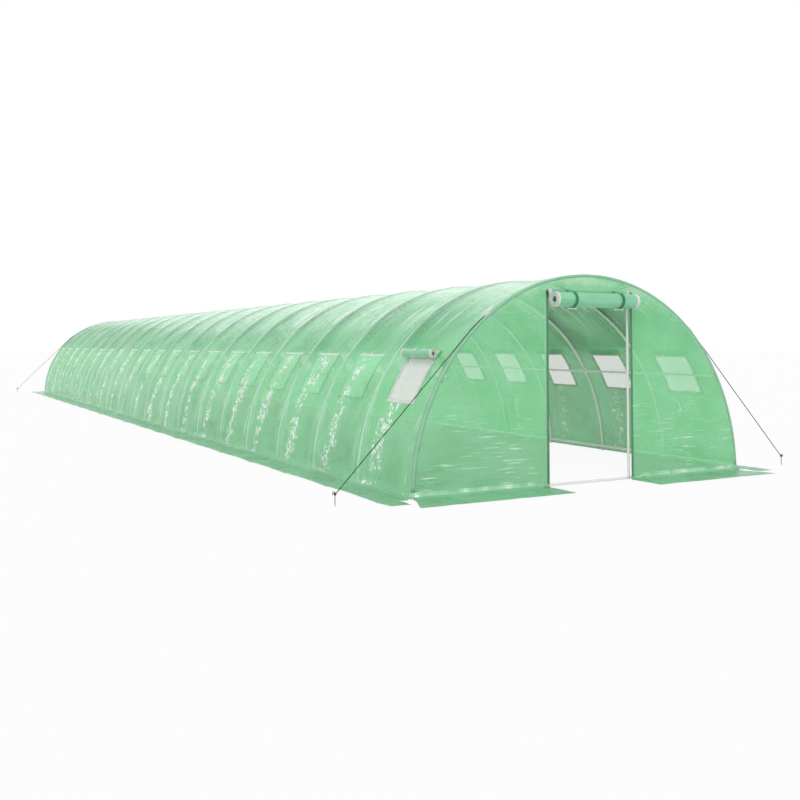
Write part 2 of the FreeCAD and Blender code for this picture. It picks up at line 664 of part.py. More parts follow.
def make_skirts():
    """Strips that lie on the ground round the tunnel, to be weighed down."""
    half, corner = f"({TUNNEL_LENGTH} / 2)", "size.cover_radius"
    notch_x = f"({corner} + 0.7 * size.skirt_notch)"
    notch_y = f"({half} + size.skirt_notch)"
    outer_x = f"({corner} + size.skirt_width)"
    outer_y = f"({half} + size.skirt_overrun)"
    body = new_body("side_skirt_body")
    sketch = sketch_on(body, "XY_Plane", "side_skirt_outline")
    add_polygon(sketch, [
        (corner, f"-{COVER_HALF_LENGTH}"), (notch_x, f"-{notch_y}"),
        (outer_x, f"-{outer_y}"), (outer_x, outer_y),
        (notch_x, notch_y), (corner, COVER_HALF_LENGTH),
    ])
    pad(body, sketch, "size.sheet_gauge")
    finish(group("right_skirt_strip", [body]), "right_skirt")
    finish(group("left_skirt_strip", [mirrored(body)]), "left_skirt")
    gable = new_body("gable_skirt_body")
    sketch = sketch_on(gable, "XY_Plane", "gable_skirt_outline")
    jamb, outer = "size.door_half_width", "-size.gable_skirt_width"
    add_polygon(sketch, [
        (jamb, f"-{GABLE_OUTER}"), (corner, f"-{GABLE_OUTER}"),
        (f"{corner} + 0.6 * size.skirt_notch", "-size.skirt_notch"),
        (f"{corner} + size.gable_skirt_flare", outer), (jamb, outer),
    ])
    mirror_across_x(gable, [pad(gable, sketch, "size.sheet_gauge")])
    finish(at_end("gable_skirts_front", [gable], False), "front_skirts")
    finish(at_end("gable_skirts_rear", [gable], True), "rear_skirts")


# ------------------------------------------------------------- rolled sheets
# Rolls and straps are drawn about the roll's own axis, X: y points to the cover
# that the roll hangs on and z up it. The sheet arrives down the cover side.
def rolled_sheet(outer_diameter, hole_diameter, turns, gauge, length):
    """A sheet rolled up: half circles about two centres, each a step wider than
    the one before, so that every turn runs smoothly into the next."""
    half_turns = 2 * turns
    first = hole_diameter / 2
    step = (outer_diameter / 2 - gauge - first) / half_turns

    def half_circle(index, radius):
        centre = Vector(0, step * (index % 2), 0)
        side = 1 if index % 2 == 0 else -1
        across, up = Vector(0, side * radius, 0), Vector(0, 0, side * radius)
        return Part.Arc(centre + across, centre + up, centre - across).toShape()

    edges = []
    ends = []
    for offset in (0, gauge):
        curves = [half_circle(i, first + i * step + offset) for i in range(half_turns)]
        ends.append((curves[0].Vertexes[0].Point, curves[-1].Vertexes[-1].Point))
        edges.extend(curves)
    for inner, outer in zip(*ends):
        edges.append(Part.makeLine(inner, outer))
    face = Part.Face(Part.Wire(Part.__sortEdges__(edges)))
    face.translate(Vector(-length / 2, 0, 0))
    return face.extrude(Vector(length, 0, 0))


def on_circle(radius, angle):
    return Vector(0, radius * math.cos(angle), radius * math.sin(angle))


def strap_round_roll(roll_radius, start, finish_at):
    """A strap from the seam above a roll, over its outer side. It ends at an angle
    round the roll, or leaves the roll towards a point below."""
    gauge, width = number("size.strap_gauge"), number("size.strap_width")
    radius = roll_radius + number("size.fit_gap")
    leave = math.atan2(start.z, start.y) + math.acos(radius / start.Length)
    if isinstance(finish_at, Vector):
        reached = 2 * math.pi + math.atan2(finish_at.z, finish_at.y)
        stop = reached - math.acos(radius / finish_at.Length)
    else:
        stop = finish_at
    sides = []
    for offset in (0, gauge):
        span = [on_circle(radius + offset, a) for a in (leave, (leave + stop) / 2, stop)]
        points = [start + on_circle(offset, leave), span[0]]
        side = [Part.makeLine(*points), Part.Arc(*span).toShape()]
        if isinstance(finish_at, Vector):
            points.append(finish_at + on_circle(offset, stop))
            side.append(Part.makeLine(span[2], points[-1]))
        sides.append((side, points[0], side[-1].Vertexes[-1].Point))
    edges = [*sides[0][0], *sides[1][0]]
    edges.append(Part.makeLine(sides[0][1], sides[1][1]))
    edges.append(Part.makeLine(sides[0][2], sides[1][2]))
    face = Part.Face(Part.Wire(Part.__sortEdges__(edges)))
    face.translate(Vector(-width / 2, 0, 0))
    return face.extrude(Vector(width, 0, 0))


# --------------------------------------------------------------------- doors
def make_zip_parts():
    """Zip tapes on the jambs, and one slider and pull drawn at x = 0."""
    zip_x, neck, chain = "size.zip_offset", "size.chain_neck_width", "size.chain_width"
    tape_face = f"({ON_GABLE} + size.zip_tape_gauge)"
    neck_top = f"({tape_face} + size.chain_neck_depth)"
    chain_top = f"({neck_top} + size.chain_depth)"
    tapes = new_body("zip_tapes_body")
    section = sketch_on(tapes, "XY_Plane", "zip_section", offset="size.zip_bottom")
    half_profile = [
        ("size.zip_tape_width", f"-{tape_face}"), (neck, f"-{tape_face}"),
        (neck, f"-{neck_top}"), (chain, f"-{neck_top}"), (chain, f"-{chain_top}"),
    ]
    right = [(f"{zip_x} + {width} / 2", y) for width, y in half_profile]
    left = [(f"{zip_x} - {width} / 2", y) for width, y in reversed(half_profile)]
    tape = "size.zip_tape_width / 2"
    back = [(f"{zip_x} - {tape}", f"-{ON_GABLE}"), (f"{zip_x} + {tape}", f"-{ON_GABLE}")]
    add_polygon(section, [*right, *left, *back])
    strip = pad(tapes, section, "size.zip_top - size.zip_bottom")
    mirror_across_x(tapes, [strip])

    slider_back = f"({tape_face} + size.fit_gap)"
    slider_face = f"({slider_back} + size.slider_depth)"
    lip = f"({neck_top} - size.fit_gap)"
    cavity = f"({chain_top} + size.slider_clearance)"
    neck_half = f"({neck} / 2 + size.slider_clearance)"
    chain_half = f"({chain} / 2 + size.slider_clearance)"
    low = "(size.slider_rest - size.slider_height / 2)"
    slider = new_body("slider_body")
    section = sketch_on(slider, "XY_Plane", "slider_section", offset=low)
    half_profile = [
        (neck_half, f"-{slider_back}"), ("size.slider_width / 2", f"-{slider_back}"),
        ("size.slider_width / 2", f"-{slider_face}"),
    ]
    cavity_profile = [
        (chain_half, f"-{cavity}"), (chain_half, f"-{lip}"), (neck_half, f"-{lip}"),
    ]
    mirrored_half = [(f"-({x})", y) for x, y in reversed(half_profile)]
    mirrored_cavity = [(f"-({x})", y) for x, y in reversed(cavity_profile)]
    add_polygon(section, [*half_profile, *mirrored_half, *mirrored_cavity, *cavity_profile])
    pad(slider, section, "size.slider_height")

    bar_y = f"-({slider_face} + size.bridge_reach)"
    lug_z = "size.slider_rest - size.bridge_lug"
    lug_depth = "size.bridge_reach + size.bridge_lug"
    lug_y = f"-({slider_face} + {lug_depth})"
    lug_size = ["size.bridge_lug", lug_depth, "2 * size.bridge_lug"]
    lugs = [
        box("right_lug", lug_size, ["size.slider_width / 2 - size.bridge_lug", lug_y, lug_z]),
        box("left_lug", lug_size, ["-size.slider_width / 2", lug_y, lug_z]),
    ]
    across = Vector(1, 0, 0)
    bar = cylinder("bridge_bar", "size.bridge_bar / 2", "size.slider_width",
                   ["-size.slider_width / 2", bar_y, "size.slider_rest"], across)
    whole_slider = fused("slider", [slider, *lugs, bar])

    eye_base = ["-size.pull_eye_width / 2", bar_y, "size.slider_rest"]
    eye = cylinder("pull_eye", "size.pull_eye_outer / 2", "size.pull_eye_width",
                   eye_base, across)
    bore = cylinder("pull_bore", "size.pull_eye_bore / 2", "size.pull_eye_width",
                    eye_base, across)
    stem_top = "size.pull_eye_outer / 2 + size.pull_gauge"
    plate_y = f"{bar_y} - size.pull_gauge / 2"
    stem = box("pull_stem", ["size.pull_eye_width", "size.pull_gauge", stem_top],
               ["-size.pull_eye_width / 2", plate_y, f"size.slider_rest - ({stem_top})"])
    tab_length = f"size.pull_length - ({stem_top})"
    tab = box("pull_tab", ["size.pull_width", "size.pull_gauge", tab_length],
              ["-size.pull_width / 2", plate_y, "size.slider_rest - size.pull_length"])
    pull = cut("pull", fused("pull_solid", [eye, stem, tab]), bore)
    return tapes, whole_slider, pull


def make_door_parts():
    """The rolled door of a gable, the sheet it hangs from and its straps."""
    half, gauge = number("size.door_sheet_half_width"), number("size.flap_gauge")
    radius, out = number(DOOR_ROLL_RADIUS), number(DOOR_ROLL_OUT)
    height = number("size.door_roll_height")
    at_roll = Placement(Vector(0, -out, height), Rotation())
    roll = feature("door_roll_sheet", rolled_sheet(
        2 * radius, number("size.door_roll_hole"), round(number("size.door_roll_turns")),
        gauge, 2 * half))
    roll.Placement = at_roll
    curtain = box(
        "door_curtain_sheet",
        ["2 * size.door_sheet_half_width", "size.flap_gauge",
         "size.curtain_seam_height - size.door_roll_height - size.tube_joint_gap"],
        ["-size.door_sheet_half_width", f"-({ON_GABLE} + size.flap_gauge)",
         "size.door_roll_height + size.tube_joint_gap"])
    gap = number("size.fit_gap")
    start = Vector(0, radius - gauge - gap, number("size.strap_seam_height") - height)
    under = math.radians(270 + number("size.door_strap_under"))
    strap = strap_round_roll(radius, start, under)
    toggle_radius = number("size.toggle_diameter") / 2
    drop = radius + number("size.strap_gauge") + 2 * gap + toggle_radius
    toggle = Part.makeCylinder(
        toggle_radius, number("size.toggle_length"),
        Vector(-number("size.toggle_length") / 2, 0, -drop), Vector(1, 0, 0))
    places = [
        at_roll.multiply(Placement(Vector(side * number("size.door_strap_offset"), 0, 0),
                                   Rotation()))
        for side in (-1, 1)
    ]
    straps = feature("door_straps", repeated(strap, places))
    toggles = feature("door_toggles", repeated(toggle, places))
    return roll, curtain, straps, toggles


def make_doors():
    roll, curtain, straps, toggles = make_door_parts()
    tapes, slider, pull = make_zip_parts()
    for rear in (False, True):
        end = "rear" if rear else "front"
        pieces = {
            "door_roll": roll, "door_curtain": curtain, "door_ties": straps,
            "door_toggles": toggles, "zip_tapes": tapes,
        }
        for name, made in pieces.items():
            finish(at_end(f"{end}_{name}_placed", [made], rear), f"{end}_{name}")
        for side, sign in (("left", -1), ("right", 1)):
            for name, made in (("zip_slider", slider), ("zip_pull", pull)):
                moved = group(f"{end}_{side}_{name}_moved", [made])
                moved.setExpression("Placement.Base.x", f"{sign} * size.zip_offset")
                finish(at_end(f"{end}_{side}_{name}_placed", [moved], rear),
                       f"{end}_{side}_{name}")


# ------------------------------------------------------------------- windows
def window_placements(side, first_bay, last_bay):
    """Where the rolled flaps lie: the left-hand side is the right-hand one turned."""
    angle = math.radians(number("size.window_roll_angle"))
    reach = number(WINDOW_ROLL_CENTRE)
    to_cover = Vector(-math.cos(angle), 0, -math.sin(angle))
    up_cover = Vector(-math.sin(angle), 0, math.cos(angle))
    turned = Rotation(Vector(0, 1, 0), to_cover, up_cover, "ZXY")
    placements = []
    for bay in range(first_bay, last_bay + 1):
        y = (bay - 0.5) * number("size.bay_length") - number(TUNNEL_LENGTH) / 2
        placed = Placement(to_cover * -reach, turned)
        if side == "left":
            half_turn = Placement(Vector(), Rotation(Vector(0, 0, 1), 180))
            placed = half_turn.multiply(placed)
        placements.append(Placement(Vector(0, y, 0), Rotation()).multiply(placed))
    return placements


def window_strap():
    """From above the seam, over the rolled flap, and down onto the screen."""
    roll_angle, centre = number("size.window_roll_angle"), number(WINDOW_ROLL_CENTRE)
    gap = number("size.fit_gap")

    def on_cover(angle_name, rise):
        turn = math.radians(number(angle_name) - roll_angle)
        radius = number(ON_COVER) + rise
        return Vector(0, centre - radius * math.cos(turn), radius * math.sin(turn))

    start = on_cover("size.window_strap_top_angle", gap)
    end = on_cover("size.window_strap_end_angle", gap)
    return strap_round_roll(number(WINDOW_ROLL_RADIUS), start, end)


def side_row(name, side, low, high, inner, gauge, width, first_bay=1):
    """A row of bent panels between two angles on one side of the tunnel."""
    body = new_body(f"{name}_body")
    bay_row(body, f"{name}_panel", inner, gauge, width, f"({high}) - ({low})", first_bay)
    turn_body(body, low if side == "right" else f"180 - ({high})")
    return finish(body, name)


def make_windows():
    low, border = "size.window_low_angle", "size.screen_border_arc"
    screen = [
        f"{low} - {border}", f"{low} + size.window_arc + {border}",
        f"({COVER_INNER} - size.fit_gap - size.screen_gauge)", "size.screen_gauge",
        "(size.window_width + 2 * size.screen_border)",
    ]
    side_row("left_window_screens", "left", *screen)
    side_row("right_window_screens", "right", *screen)
    side_row("left_window_flaps", "left", "size.flap_bottom_angle", "size.flap_top_angle",
             ON_COVER, "size.flap_gauge", FLAP_WIDTH, first_bay=2)
    seam_gap = "size.tube_joint_gap * 180 / pi / size.cover_radius"
    curtain = [
        f"size.window_roll_angle + {seam_gap}", "size.curtain_top_angle", ON_COVER,
        "size.flap_gauge", FLAP_WIDTH,
    ]
    side_row("right_window_curtains", "right", *curtain)
    left = new_body("left_window_curtain_body")
    middle = f"(0.5 * size.bay_length - {TUNNEL_LENGTH} / 2)"
    arc_panel(left, "left_window_curtain_panel", ON_COVER, "size.flap_gauge",
              f"{middle} - {FLAP_WIDTH} / 2", f"{middle} + {FLAP_WIDTH} / 2",
              f"({curtain[1]}) - ({curtain[0]})")
    turn_body(left, f"180 - {curtain[1]}")
    finish(left, "left_window_curtain")

    bays = round(number("size.bay_count"))
    roll = rolled_sheet(
        number("size.window_roll_outer"), number("size.window_roll_hole"),
        round(number("size.window_roll_turns")), number("size.flap_gauge"),
        number(FLAP_WIDTH))
    strap = window_strap()
    rows = [("left", 1, "left_window_roll", "left_window_tie"),
            ("right", bays, "right_window_rolls", "right_window_ties")]
    for side, last_bay, roll_name, strap_name in rows:
        places = window_placements(side, 1, last_bay)
        finish(feature(f"{roll_name}_shape", repeated(roll, places)), roll_name)
        finish(feature(f"{strap_name}_shape", repeated(strap, places)), strap_name)


# ---------------------------------------------------------------- guy ropes
def around(radius, angle_degrees):
    angle = math.radians(angle_degrees)
    return Vector(radius * math.cos(angle), 0, radius * math.sin(angle))


def guy_rope(top_angle, low):
    """A rope that lies on the cover as far as it has to, then runs straight."""
    radius = number("size.rope_diameter") / 2
    reach = number(ON_COVER) + radius
    leave = math.degrees(math.atan2(low.z, low.x) + math.acos(reach / low.Length))
    top, middle, off = (
        around(reach, a) for a in (top_angle, (top_angle + leave) / 2, leave))
    path = Part.Wire([Part.Arc(top, middle, off).toShape(), Part.makeLine(off, low)])
    along = Rotation(Vector(0, -1, 0), 90).multVec(around(1, top_angle))
    section = Part.Wire(Part.makeCircle(radius, top, along))
    return path.makePipeShell([section], True, False)


def make_guys():
    """Ropes in the planes of the end hoops, from a tab on the cover to a peg."""
    half = number(TUNNEL_LENGTH) / 2
    peg_radius = number("size.peg_diameter") / 2
    hook, stand = number("size.peg_hook_radius"), number("size.peg_height")
    point, tail = number("size.peg_point"), number("size.peg_hook_tail")
    path = Part.Wire([
        Part.makeLine(Vector(0, 0, point), Vector(0, 0, stand)),
        Part.Arc(Vector(0, 0, stand), Vector(hook, 0, stand + hook),
                 Vector(2 * hook, 0, stand)).toShape(),
        Part.makeLine(Vector(2 * hook, 0, stand), Vector(2 * hook, 0, stand - tail)),
    ])
    section = Part.Wire(Part.makeCircle(peg_radius, Vector(0, 0, point)))
    tip = Part.makeCone(peg_radius / 4, peg_radius, point)
    peg = path.makePipeShell([section], True, False).fuse(tip).removeSplitter()

    tab_inner = number(ON_COVER)
    tab_gauge, width = number("size.tab_gauge"), number("size.tab_width")
    arc = number("size.tab_arc")
    profile = Part.makePolygon([
        Vector(tab_inner, -width / 2, 0), Vector(tab_inner + tab_gauge, -width / 2, 0),
        Vector(tab_inner + tab_gauge, width / 2, 0), Vector(tab_inner, width / 2, 0),
        Vector(tab_inner, -width / 2, 0),
    ])
    tab = Part.Face(profile).revolve(Vector(), Vector(0, -1, 0), arc)
    eyelet_at = around(tab_inner - tab_gauge, arc / 4)
    eyelet = Part.makeCylinder(number("size.tab_eyelet") / 2, 3 * tab_gauge, eyelet_at,
                               eyelet_at.normalize())
    tab = tab.cut(eyelet)

    def end_of(y):
        return "front" if y < 0 else "rear"

    pegs, tabs = [], []
    for y in (-half, half):
        for side in ("left", "right"):
            flip = Rotation(Vector(0, 0, 1), 180) if side == "left" else Rotation()
            across = Placement(Vector(0, y, 0), flip)
            # seen from inside, both ends keep left at -X and right at +X
            angle = number(f"size.{side}_tab_angle")
            raised = Placement(Vector(), Rotation(Vector(0, -1, 0), angle))
            tabs.append(across.multiply(raised))
            foot = number("size.peg_offset")
            pegs.append(across.multiply(Placement(Vector(foot, 0, 0), Rotation())))
            low = Vector(foot - peg_radius - number("size.rope_end_gap"), 0,
                         number("size.rope_end_height"))
            rope = guy_rope(angle - number("size.rope_start_arc"), low)
            made = feature(f"{end_of(y)}_{side}_rope_shape", rope)
            made.Placement = across
            finish(made, f"{end_of(y)}_{side}_guy_rope")
    finish(feature("guy_pegs_shape", repeated(peg, pegs)), "guy_pegs")
    finish(feature("guy_tabs_shape", repeated(tab, tabs)), "guy_tabs")


# ------------------------------------------------------------------ assembly
drill_holes = make_screws()
HOOP_ROWS = [
    ("hoop_tubes_right_lower", 0), ("hoop_tubes_right_upper", 1), ("hoop_tubes_top", 2),
    ("hoop_tubes_left_upper", 3), ("hoop_tubes_left_lower", 4),
]
for hoop_name, tube_index in HOOP_ROWS:
    hoop_tube_row(hoop_name, tube_index, hoop_name != HOOP_ROWS[-1][0], drill_holes)
make_rails(drill_holes)
make_gable_frames(drill_holes)
make_fittings()
make_cover()
make_gable_sheets()
make_skirts()
make_doors()
make_windows()
make_guys()
document.recompute()

os.makedirs("parts", exist_ok=True)
for made in document.Objects:
    bad = {"Invalid", "Error"}.intersection(made.State)
    if bad:
        raise RuntimeError(f"{made.Name} did not compute: {sorted(bad)}")
for made in subparts:
    if made.Shape.isNull() or not made.Shape.isValid():
        raise RuntimeError(f"{made.Label} has no valid shape")
    made.Shape.exportStep(f"parts/{made.Label}.step")
print(len(subparts), "sub-parts in", os.path.abspath("parts"))
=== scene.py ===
# %% [markdown]
# # A walk-in tunnel greenhouse
#
# The steel frame comes from the CAD model and keeps its shape here. What this lesson
# adds is the soft part: one large film pulled over twenty-one hoops, two gables,
# skirts on the ground, rolled doors and windows, straps and guy ropes. All lengths are
# in metres. X runs across the tunnel, Y along it with the front door at -Y, Z up.

import math

import bmesh
import bpy
from mathutils import Matrix, Vector, noise


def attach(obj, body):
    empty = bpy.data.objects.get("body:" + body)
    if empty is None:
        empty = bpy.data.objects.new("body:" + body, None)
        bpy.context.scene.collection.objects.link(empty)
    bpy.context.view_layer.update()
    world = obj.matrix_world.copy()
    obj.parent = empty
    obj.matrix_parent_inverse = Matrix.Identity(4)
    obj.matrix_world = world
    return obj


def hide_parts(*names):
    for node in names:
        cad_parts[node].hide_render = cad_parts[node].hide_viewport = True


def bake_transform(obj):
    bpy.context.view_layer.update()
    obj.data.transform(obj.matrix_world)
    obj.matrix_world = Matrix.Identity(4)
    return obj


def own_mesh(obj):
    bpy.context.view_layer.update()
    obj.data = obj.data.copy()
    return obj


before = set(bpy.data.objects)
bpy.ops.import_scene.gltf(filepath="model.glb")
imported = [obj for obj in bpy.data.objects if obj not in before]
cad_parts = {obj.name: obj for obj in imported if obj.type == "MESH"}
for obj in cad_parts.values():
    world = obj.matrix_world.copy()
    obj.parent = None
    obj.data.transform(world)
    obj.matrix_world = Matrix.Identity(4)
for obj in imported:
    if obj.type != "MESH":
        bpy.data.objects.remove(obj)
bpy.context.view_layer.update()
print("nodes in the frame:", len(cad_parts))

# %% [markdown]
# ## Sizes that the soft pieces share
#
# The film touches the hoops from outside, so its radius is the radius of the whole
# half circle. Everything else is measured from that circle, from the plane of the end
# hoops, and from the middle of each one-metre bay.

# %% Shared sizes
RADIUS = 2.0
BAY = 1.0
BAYS = 20
HALF_LENGTH = BAY * BAYS / 2
DOOR_HALF = 0.51
DOOR_HEIGHT = 1.83
WINDOW_LOW, WINDOW_HIGH = 24.2, 37.0
WINDOW_HALF = 0.215
HALF_ARC = 0.5 * math.pi * RADIUS
ROOT = "frame"


def around(radius, degrees, y=0.0):
    """A point at an angle round the tunnel, counted from the right-hand foot."""
    angle = math.radians(degrees)
    return Vector((radius * math.cos(angle), y, radius * math.sin(angle)))


print("tunnel:", 2 * RADIUS, "m wide,", 2 * HALF_LENGTH, "m long, in", BAYS, "bays")

# %% [markdown]
# ## The camera
#
# It stands low, to the left of the front door, and looks along the left wall, so that
# the far end of the tunnel shrinks to a few centimetres. The lens is a little longer
# than a normal one, and the shift puts the tunnel where it should be in the frame.

# %% The camera
camera_data = bpy.data.cameras.new("camera")
camera_data.sensor_width = 36
camera_data.lens = 40.845
camera_data.shift_x = 0.04473
camera_data.shift_y = -0.11156
camera_data.clip_end = 200
camera = bpy.data.objects.new("camera", camera_data)
camera.location = (-6.007, -16.717, 1.326)
camera.rotation_euler = (math.radians(92.13), 0, math.radians(-27.873))
bpy.context.collection.objects.link(camera)
bpy.context.scene.camera = camera
print("camera stands at", tuple(round(v, 2) for v in camera.location))

# %% [markdown]
# ## Words for nodes
#
# Every finish is a small tree of nodes. Placing them one by one takes four lines each,
# so the helpers below give the common ones short names: noise, a stretched map, a
# range, and masks that are laid over one another. They only place nodes. What a finish
# looks like is said where it is made.


# %% Helpers for nodes
def feed(tree, socket, value):
    """A socket takes what another node puts out, or a constant of its own."""
    if isinstance(value, bpy.types.NodeSocket):
        tree.links.new(value, socket)
    else:
        socket.default_value = value


def add_node(tree, kind, inputs=None, **settings):
    node = tree.nodes.new(kind)
    for name, value in settings.items():
        setattr(node, name, value)
    for name, value in (inputs or {}).items():
        feed(tree, node.inputs[name], value)
    return node


def math_node(tree, operation, *values):
    node = add_node(tree, "ShaderNodeMath", operation=operation)
    for socket, value in zip(node.inputs, values):
        feed(tree, socket, value)
    return node.outputs[0]


def product(tree, *masks):
    """Masks laid over one another: what is left is where all of them are."""
    result = masks[0]
    for mask in masks[1:]:
        result = math_node(tree, "MULTIPLY", result, mask)
    return result


def highest(tree, *masks):
    """Masks side by side: the stronger one counts."""
    result = masks[0]
    for mask in masks[1:]:
        result = math_node(tree, "MAXIMUM", result, mask)
    return result


def ranged(tree, value, start, end, low=0.0, high=1.0):
    """Carries value from start..end over to low..high, and keeps it in there."""
    node = add_node(tree, "ShaderNodeMapRange",
                    {"Value": value, "From Min": start, "From Max": end,
                     "To Min": low, "To Max": high})
    return node.outputs["Result"]


def axes_of(tree, vector):
    return add_node(tree, "ShaderNodeSeparateXYZ", {0: vector}).outputs


def stretched(tree, where, stretch):
    node = add_node(tree, "ShaderNodeMapping", {"Vector": where, "Scale": stretch})
    return node.outputs["Vector"]


def clouds(tree, where, scale, **more):
    """Noise on a map. Most of it lies near one half."""
    return add_node(tree, "ShaderNodeTexNoise", {"Vector": where, "Scale": scale, **more})


print("node helpers ready in Blender", bpy.app.version_string)

# %% [markdown]
# ## Shader groups
#
# Three effects come back in several finishes: the grid of thick threads inside a
# reinforced film, the fine crackle that the film gets where it hangs slack, and the
# over-and-under weave of webbing. Each is a node group with its own values, and puts
# out masks and heights only. The shader itself stays in each material.
# The threads of the film are a square grid. It could be an image, but two waves that
# fold the map back and forth need none, and stay sharp at any distance.


# %% The grid of threads in the film
def new_group(name, numbers, results):
    """A group reads a map and some numbers, and puts out masks or heights."""
    tree = bpy.data.node_groups.new(name, "ShaderNodeTree")
    tree.interface.new_socket("Vector", in_out="INPUT", socket_type="NodeSocketVector")
    for socket, value in numbers.items():
        made = tree.interface.new_socket(socket, in_out="INPUT",
                                         socket_type="NodeSocketFloat")
        made.default_value = value
    for socket in results:
        tree.interface.new_socket(socket, in_out="OUTPUT", socket_type="NodeSocketFloat")
    inside = tree.nodes.new("NodeGroupInput").outputs
    return tree, inside, tree.nodes.new("NodeGroupOutput").inputs


def scaled_axes(tree, inside, scale):
    placed = add_node(tree, "ShaderNodeVectorMath",
                      {0: inside["Vector"], "Scale": scale}, operation="SCALE")
    return axes_of(tree, placed.outputs[0])


def thread_grid_group():
    """A square grid of raised threads, a given distance apart."""
    tree, inside, outside = new_group("thread grid", {"Spacing": 0.01, "Thread": 0.12},
                                      ["Threads"])
    axes = scaled_axes(tree, inside, math_node(tree, "DIVIDE", 1.0, inside["Spacing"]))
    waves = [math_node(tree, "PINGPONG", axes[axis], 0.5) for axis in ("X", "Y")]
    masks = [math_node(tree, "LESS_THAN", wave, inside["Thread"]) for wave in waves]
    feed(tree, outside["Threads"], highest(tree, *masks))
    return tree


THREAD_GRID = thread_grid_group()
print("thread grid:", len(THREAD_GRID.nodes), "nodes")

# %% [markdown]
# Slack film crackles into small flat facets. Cells with straight borders give the
# facets, and a bent noise keeps them from looking like tiles.


# %% The crackle of slack film
def crackle_group():
    """Sharp little creases, and the wide patches that they come in."""
    tree, inside, outside = new_group("crackle", {"Scale": 14.0}, ["Height", "Patches"])
    where, scale = inside["Vector"], inside["Scale"]
    cells = add_node(tree, "ShaderNodeTexVoronoi",
                     {"Vector": where, "Scale": scale, "Randomness": 1.0},
                     feature="F1", distance="CHEBYCHEV")
    soft = clouds(tree, where, scale, Detail=5.0, Roughness=0.62, Distortion=1.6)
    wide = clouds(tree, where, 1.7, Detail=2.0)
    height = math_node(tree, "ADD", cells.outputs["Distance"], soft.outputs["Fac"])
    feed(tree, outside["Height"], height)
    feed(tree, outside["Patches"], ranged(tree, wide.outputs["Fac"], 0.42, 0.66))
    return tree


CRACKLE = crackle_group()
print("crackle:", len(CRACKLE.nodes), "nodes")

# %% [markdown]
# Webbing is woven over and under. Modelled threads would be far too many, so two sine
# waves that take turns stand for warp and weft.


# %% The weave of webbing and tape
def weave_group():
    """Warp over weft: two sine waves that take turns at the top."""
    tree, inside, outside = new_group("weave", {"Pitch": 0.002}, ["Height"])
    axes = scaled_axes(tree, inside, math_node(tree, "DIVIDE", math.pi, inside["Pitch"]))
    waves = [math_node(tree, "SINE", math_node(tree, "ADD", axes[axis], axes["Z"]))
             for axis in ("X", "Y")]
    height = math_node(tree, "MULTIPLY_ADD", product(tree, *waves), 0.5)
    feed(tree, outside["Height"], height)
    return tree


WEAVE = weave_group()
print("shader groups:", [group.name for group in bpy.data.node_groups])

# %% [markdown]
# ## Finishes
#
# Each finish is one material with its own shader. A pattern is read from the piece's
# own unwrapped map, in metres, where it follows a cloth, and from Object coordinates
# on rigid parts.


# %% A material and its shader
def new_material(name, **sockets):
    material = bpy.data.materials.new(name)
    material.use_nodes = True
    tree = material.node_tree
    shader = tree.nodes["Principled BSDF"]
    for socket, value in sockets.items():
        shader.inputs[socket.replace("_", " ")].default_value = value
    return material, tree, shader


def own_map(tree):
    """The piece's own map, in metres."""
    return add_node(tree, "ShaderNodeUVMap", uv_map="film").outputs["UV"]


def in_space(tree):
    return add_node(tree, "ShaderNodeTexCoord").outputs["Object"]


def place_group(tree, group, **inputs):
    return add_node(tree, "ShaderNodeGroup", inputs, node_tree=group).outputs


# A Mix node has sockets of the same name for every kind of value, so its colour
# sockets are taken by number.
COLOUR_A, COLOUR_B, COLOUR_OUT = 6, 7, 2


def blend_colours(tree, mask, first, second):
    """The first colour where the mask is 0, the second where it is 1."""
    node = add_node(tree, "ShaderNodeMix", {0: mask}, data_type="RGBA")
    for index, colour in ((COLOUR_A, first), (COLOUR_B, second)):
        solid = (*colour, 1.0) if isinstance(colour, tuple) else colour
        feed(tree, node.inputs[index], solid)
    return node.outputs[COLOUR_OUT]


def bump(tree, shader, height, distance, strength=1.0, normal=None):
    node = add_node(tree, "ShaderNodeBump",
                    {"Strength": strength, "Distance": distance, "Height": height})
    if normal is not None:
        feed(tree, node.inputs["Normal"], normal)
    feed(tree, shader.inputs["Normal"], node.outputs["Normal"])
    return node.outputs["Normal"]


print("a Mix node's colour sockets:", COLOUR_A, "and", COLOUR_B, "to", COLOUR_OUT)

# %% [markdown]
# ## The film
#
# The cover is a polyethylene film with a grid of threads between its two skins, about
# 0.3 mm thick and half see-through. Through the near wall the hoops and the far wall
# show faintly. A thin film doesn't bend light, so its shader keeps a plain alpha, which
# closes towards a glancing view as real film does. The coat is its second skin.
# Where slack film crumples, white glints are painted on it. That crackle is far too fine
# for the mesh, so it is a mask that paints the film white, makes it metallic and lifts it
# in the bump.
# Masks could be painted, but on the film's own map in metres they are a few numbers:
# the distance along the tunnel and the way up over the arch.


# %% Masks on the film's map
def speckle(tree, uv, stretch, scale, start, end, detail=3.0):
    """Noise on the film's map, cut so that only its peaks stay."""
    spots = clouds(tree, stretched(tree, uv, stretch), scale, Detail=detail)
    return ranged(tree, spots.outputs["Fac"], start, end)


def facets(tree, uv, stretch, scale, share):
    """Small flat facets where slack film crumples, for its painted glints. share is how
    many are painted white.
    """
    placed = stretched(tree, uv, stretch)
    bent = add_node(tree, "ShaderNodeVectorMath",
                    {0: clouds(tree, placed, 0.7 * scale).outputs["Color"],
                     1: (0.022, 0.022, 0.0), 2: placed}, operation="MULTIPLY_ADD")
    cells = add_node(tree, "ShaderNodeTexVoronoi",
                     {"Vector": bent.outputs["Vector"], "Scale": scale})
    chance = axes_of(tree, cells.outputs["Color"])["X"]
    return ranged(tree, math_node(tree, "SUBTRACT", share, chance), 0.0, 0.3)


EVEN = (1.0, 1.0, 1.0)
print("masks read the film's map in metres, and", EVEN, "leaves it unstretched")
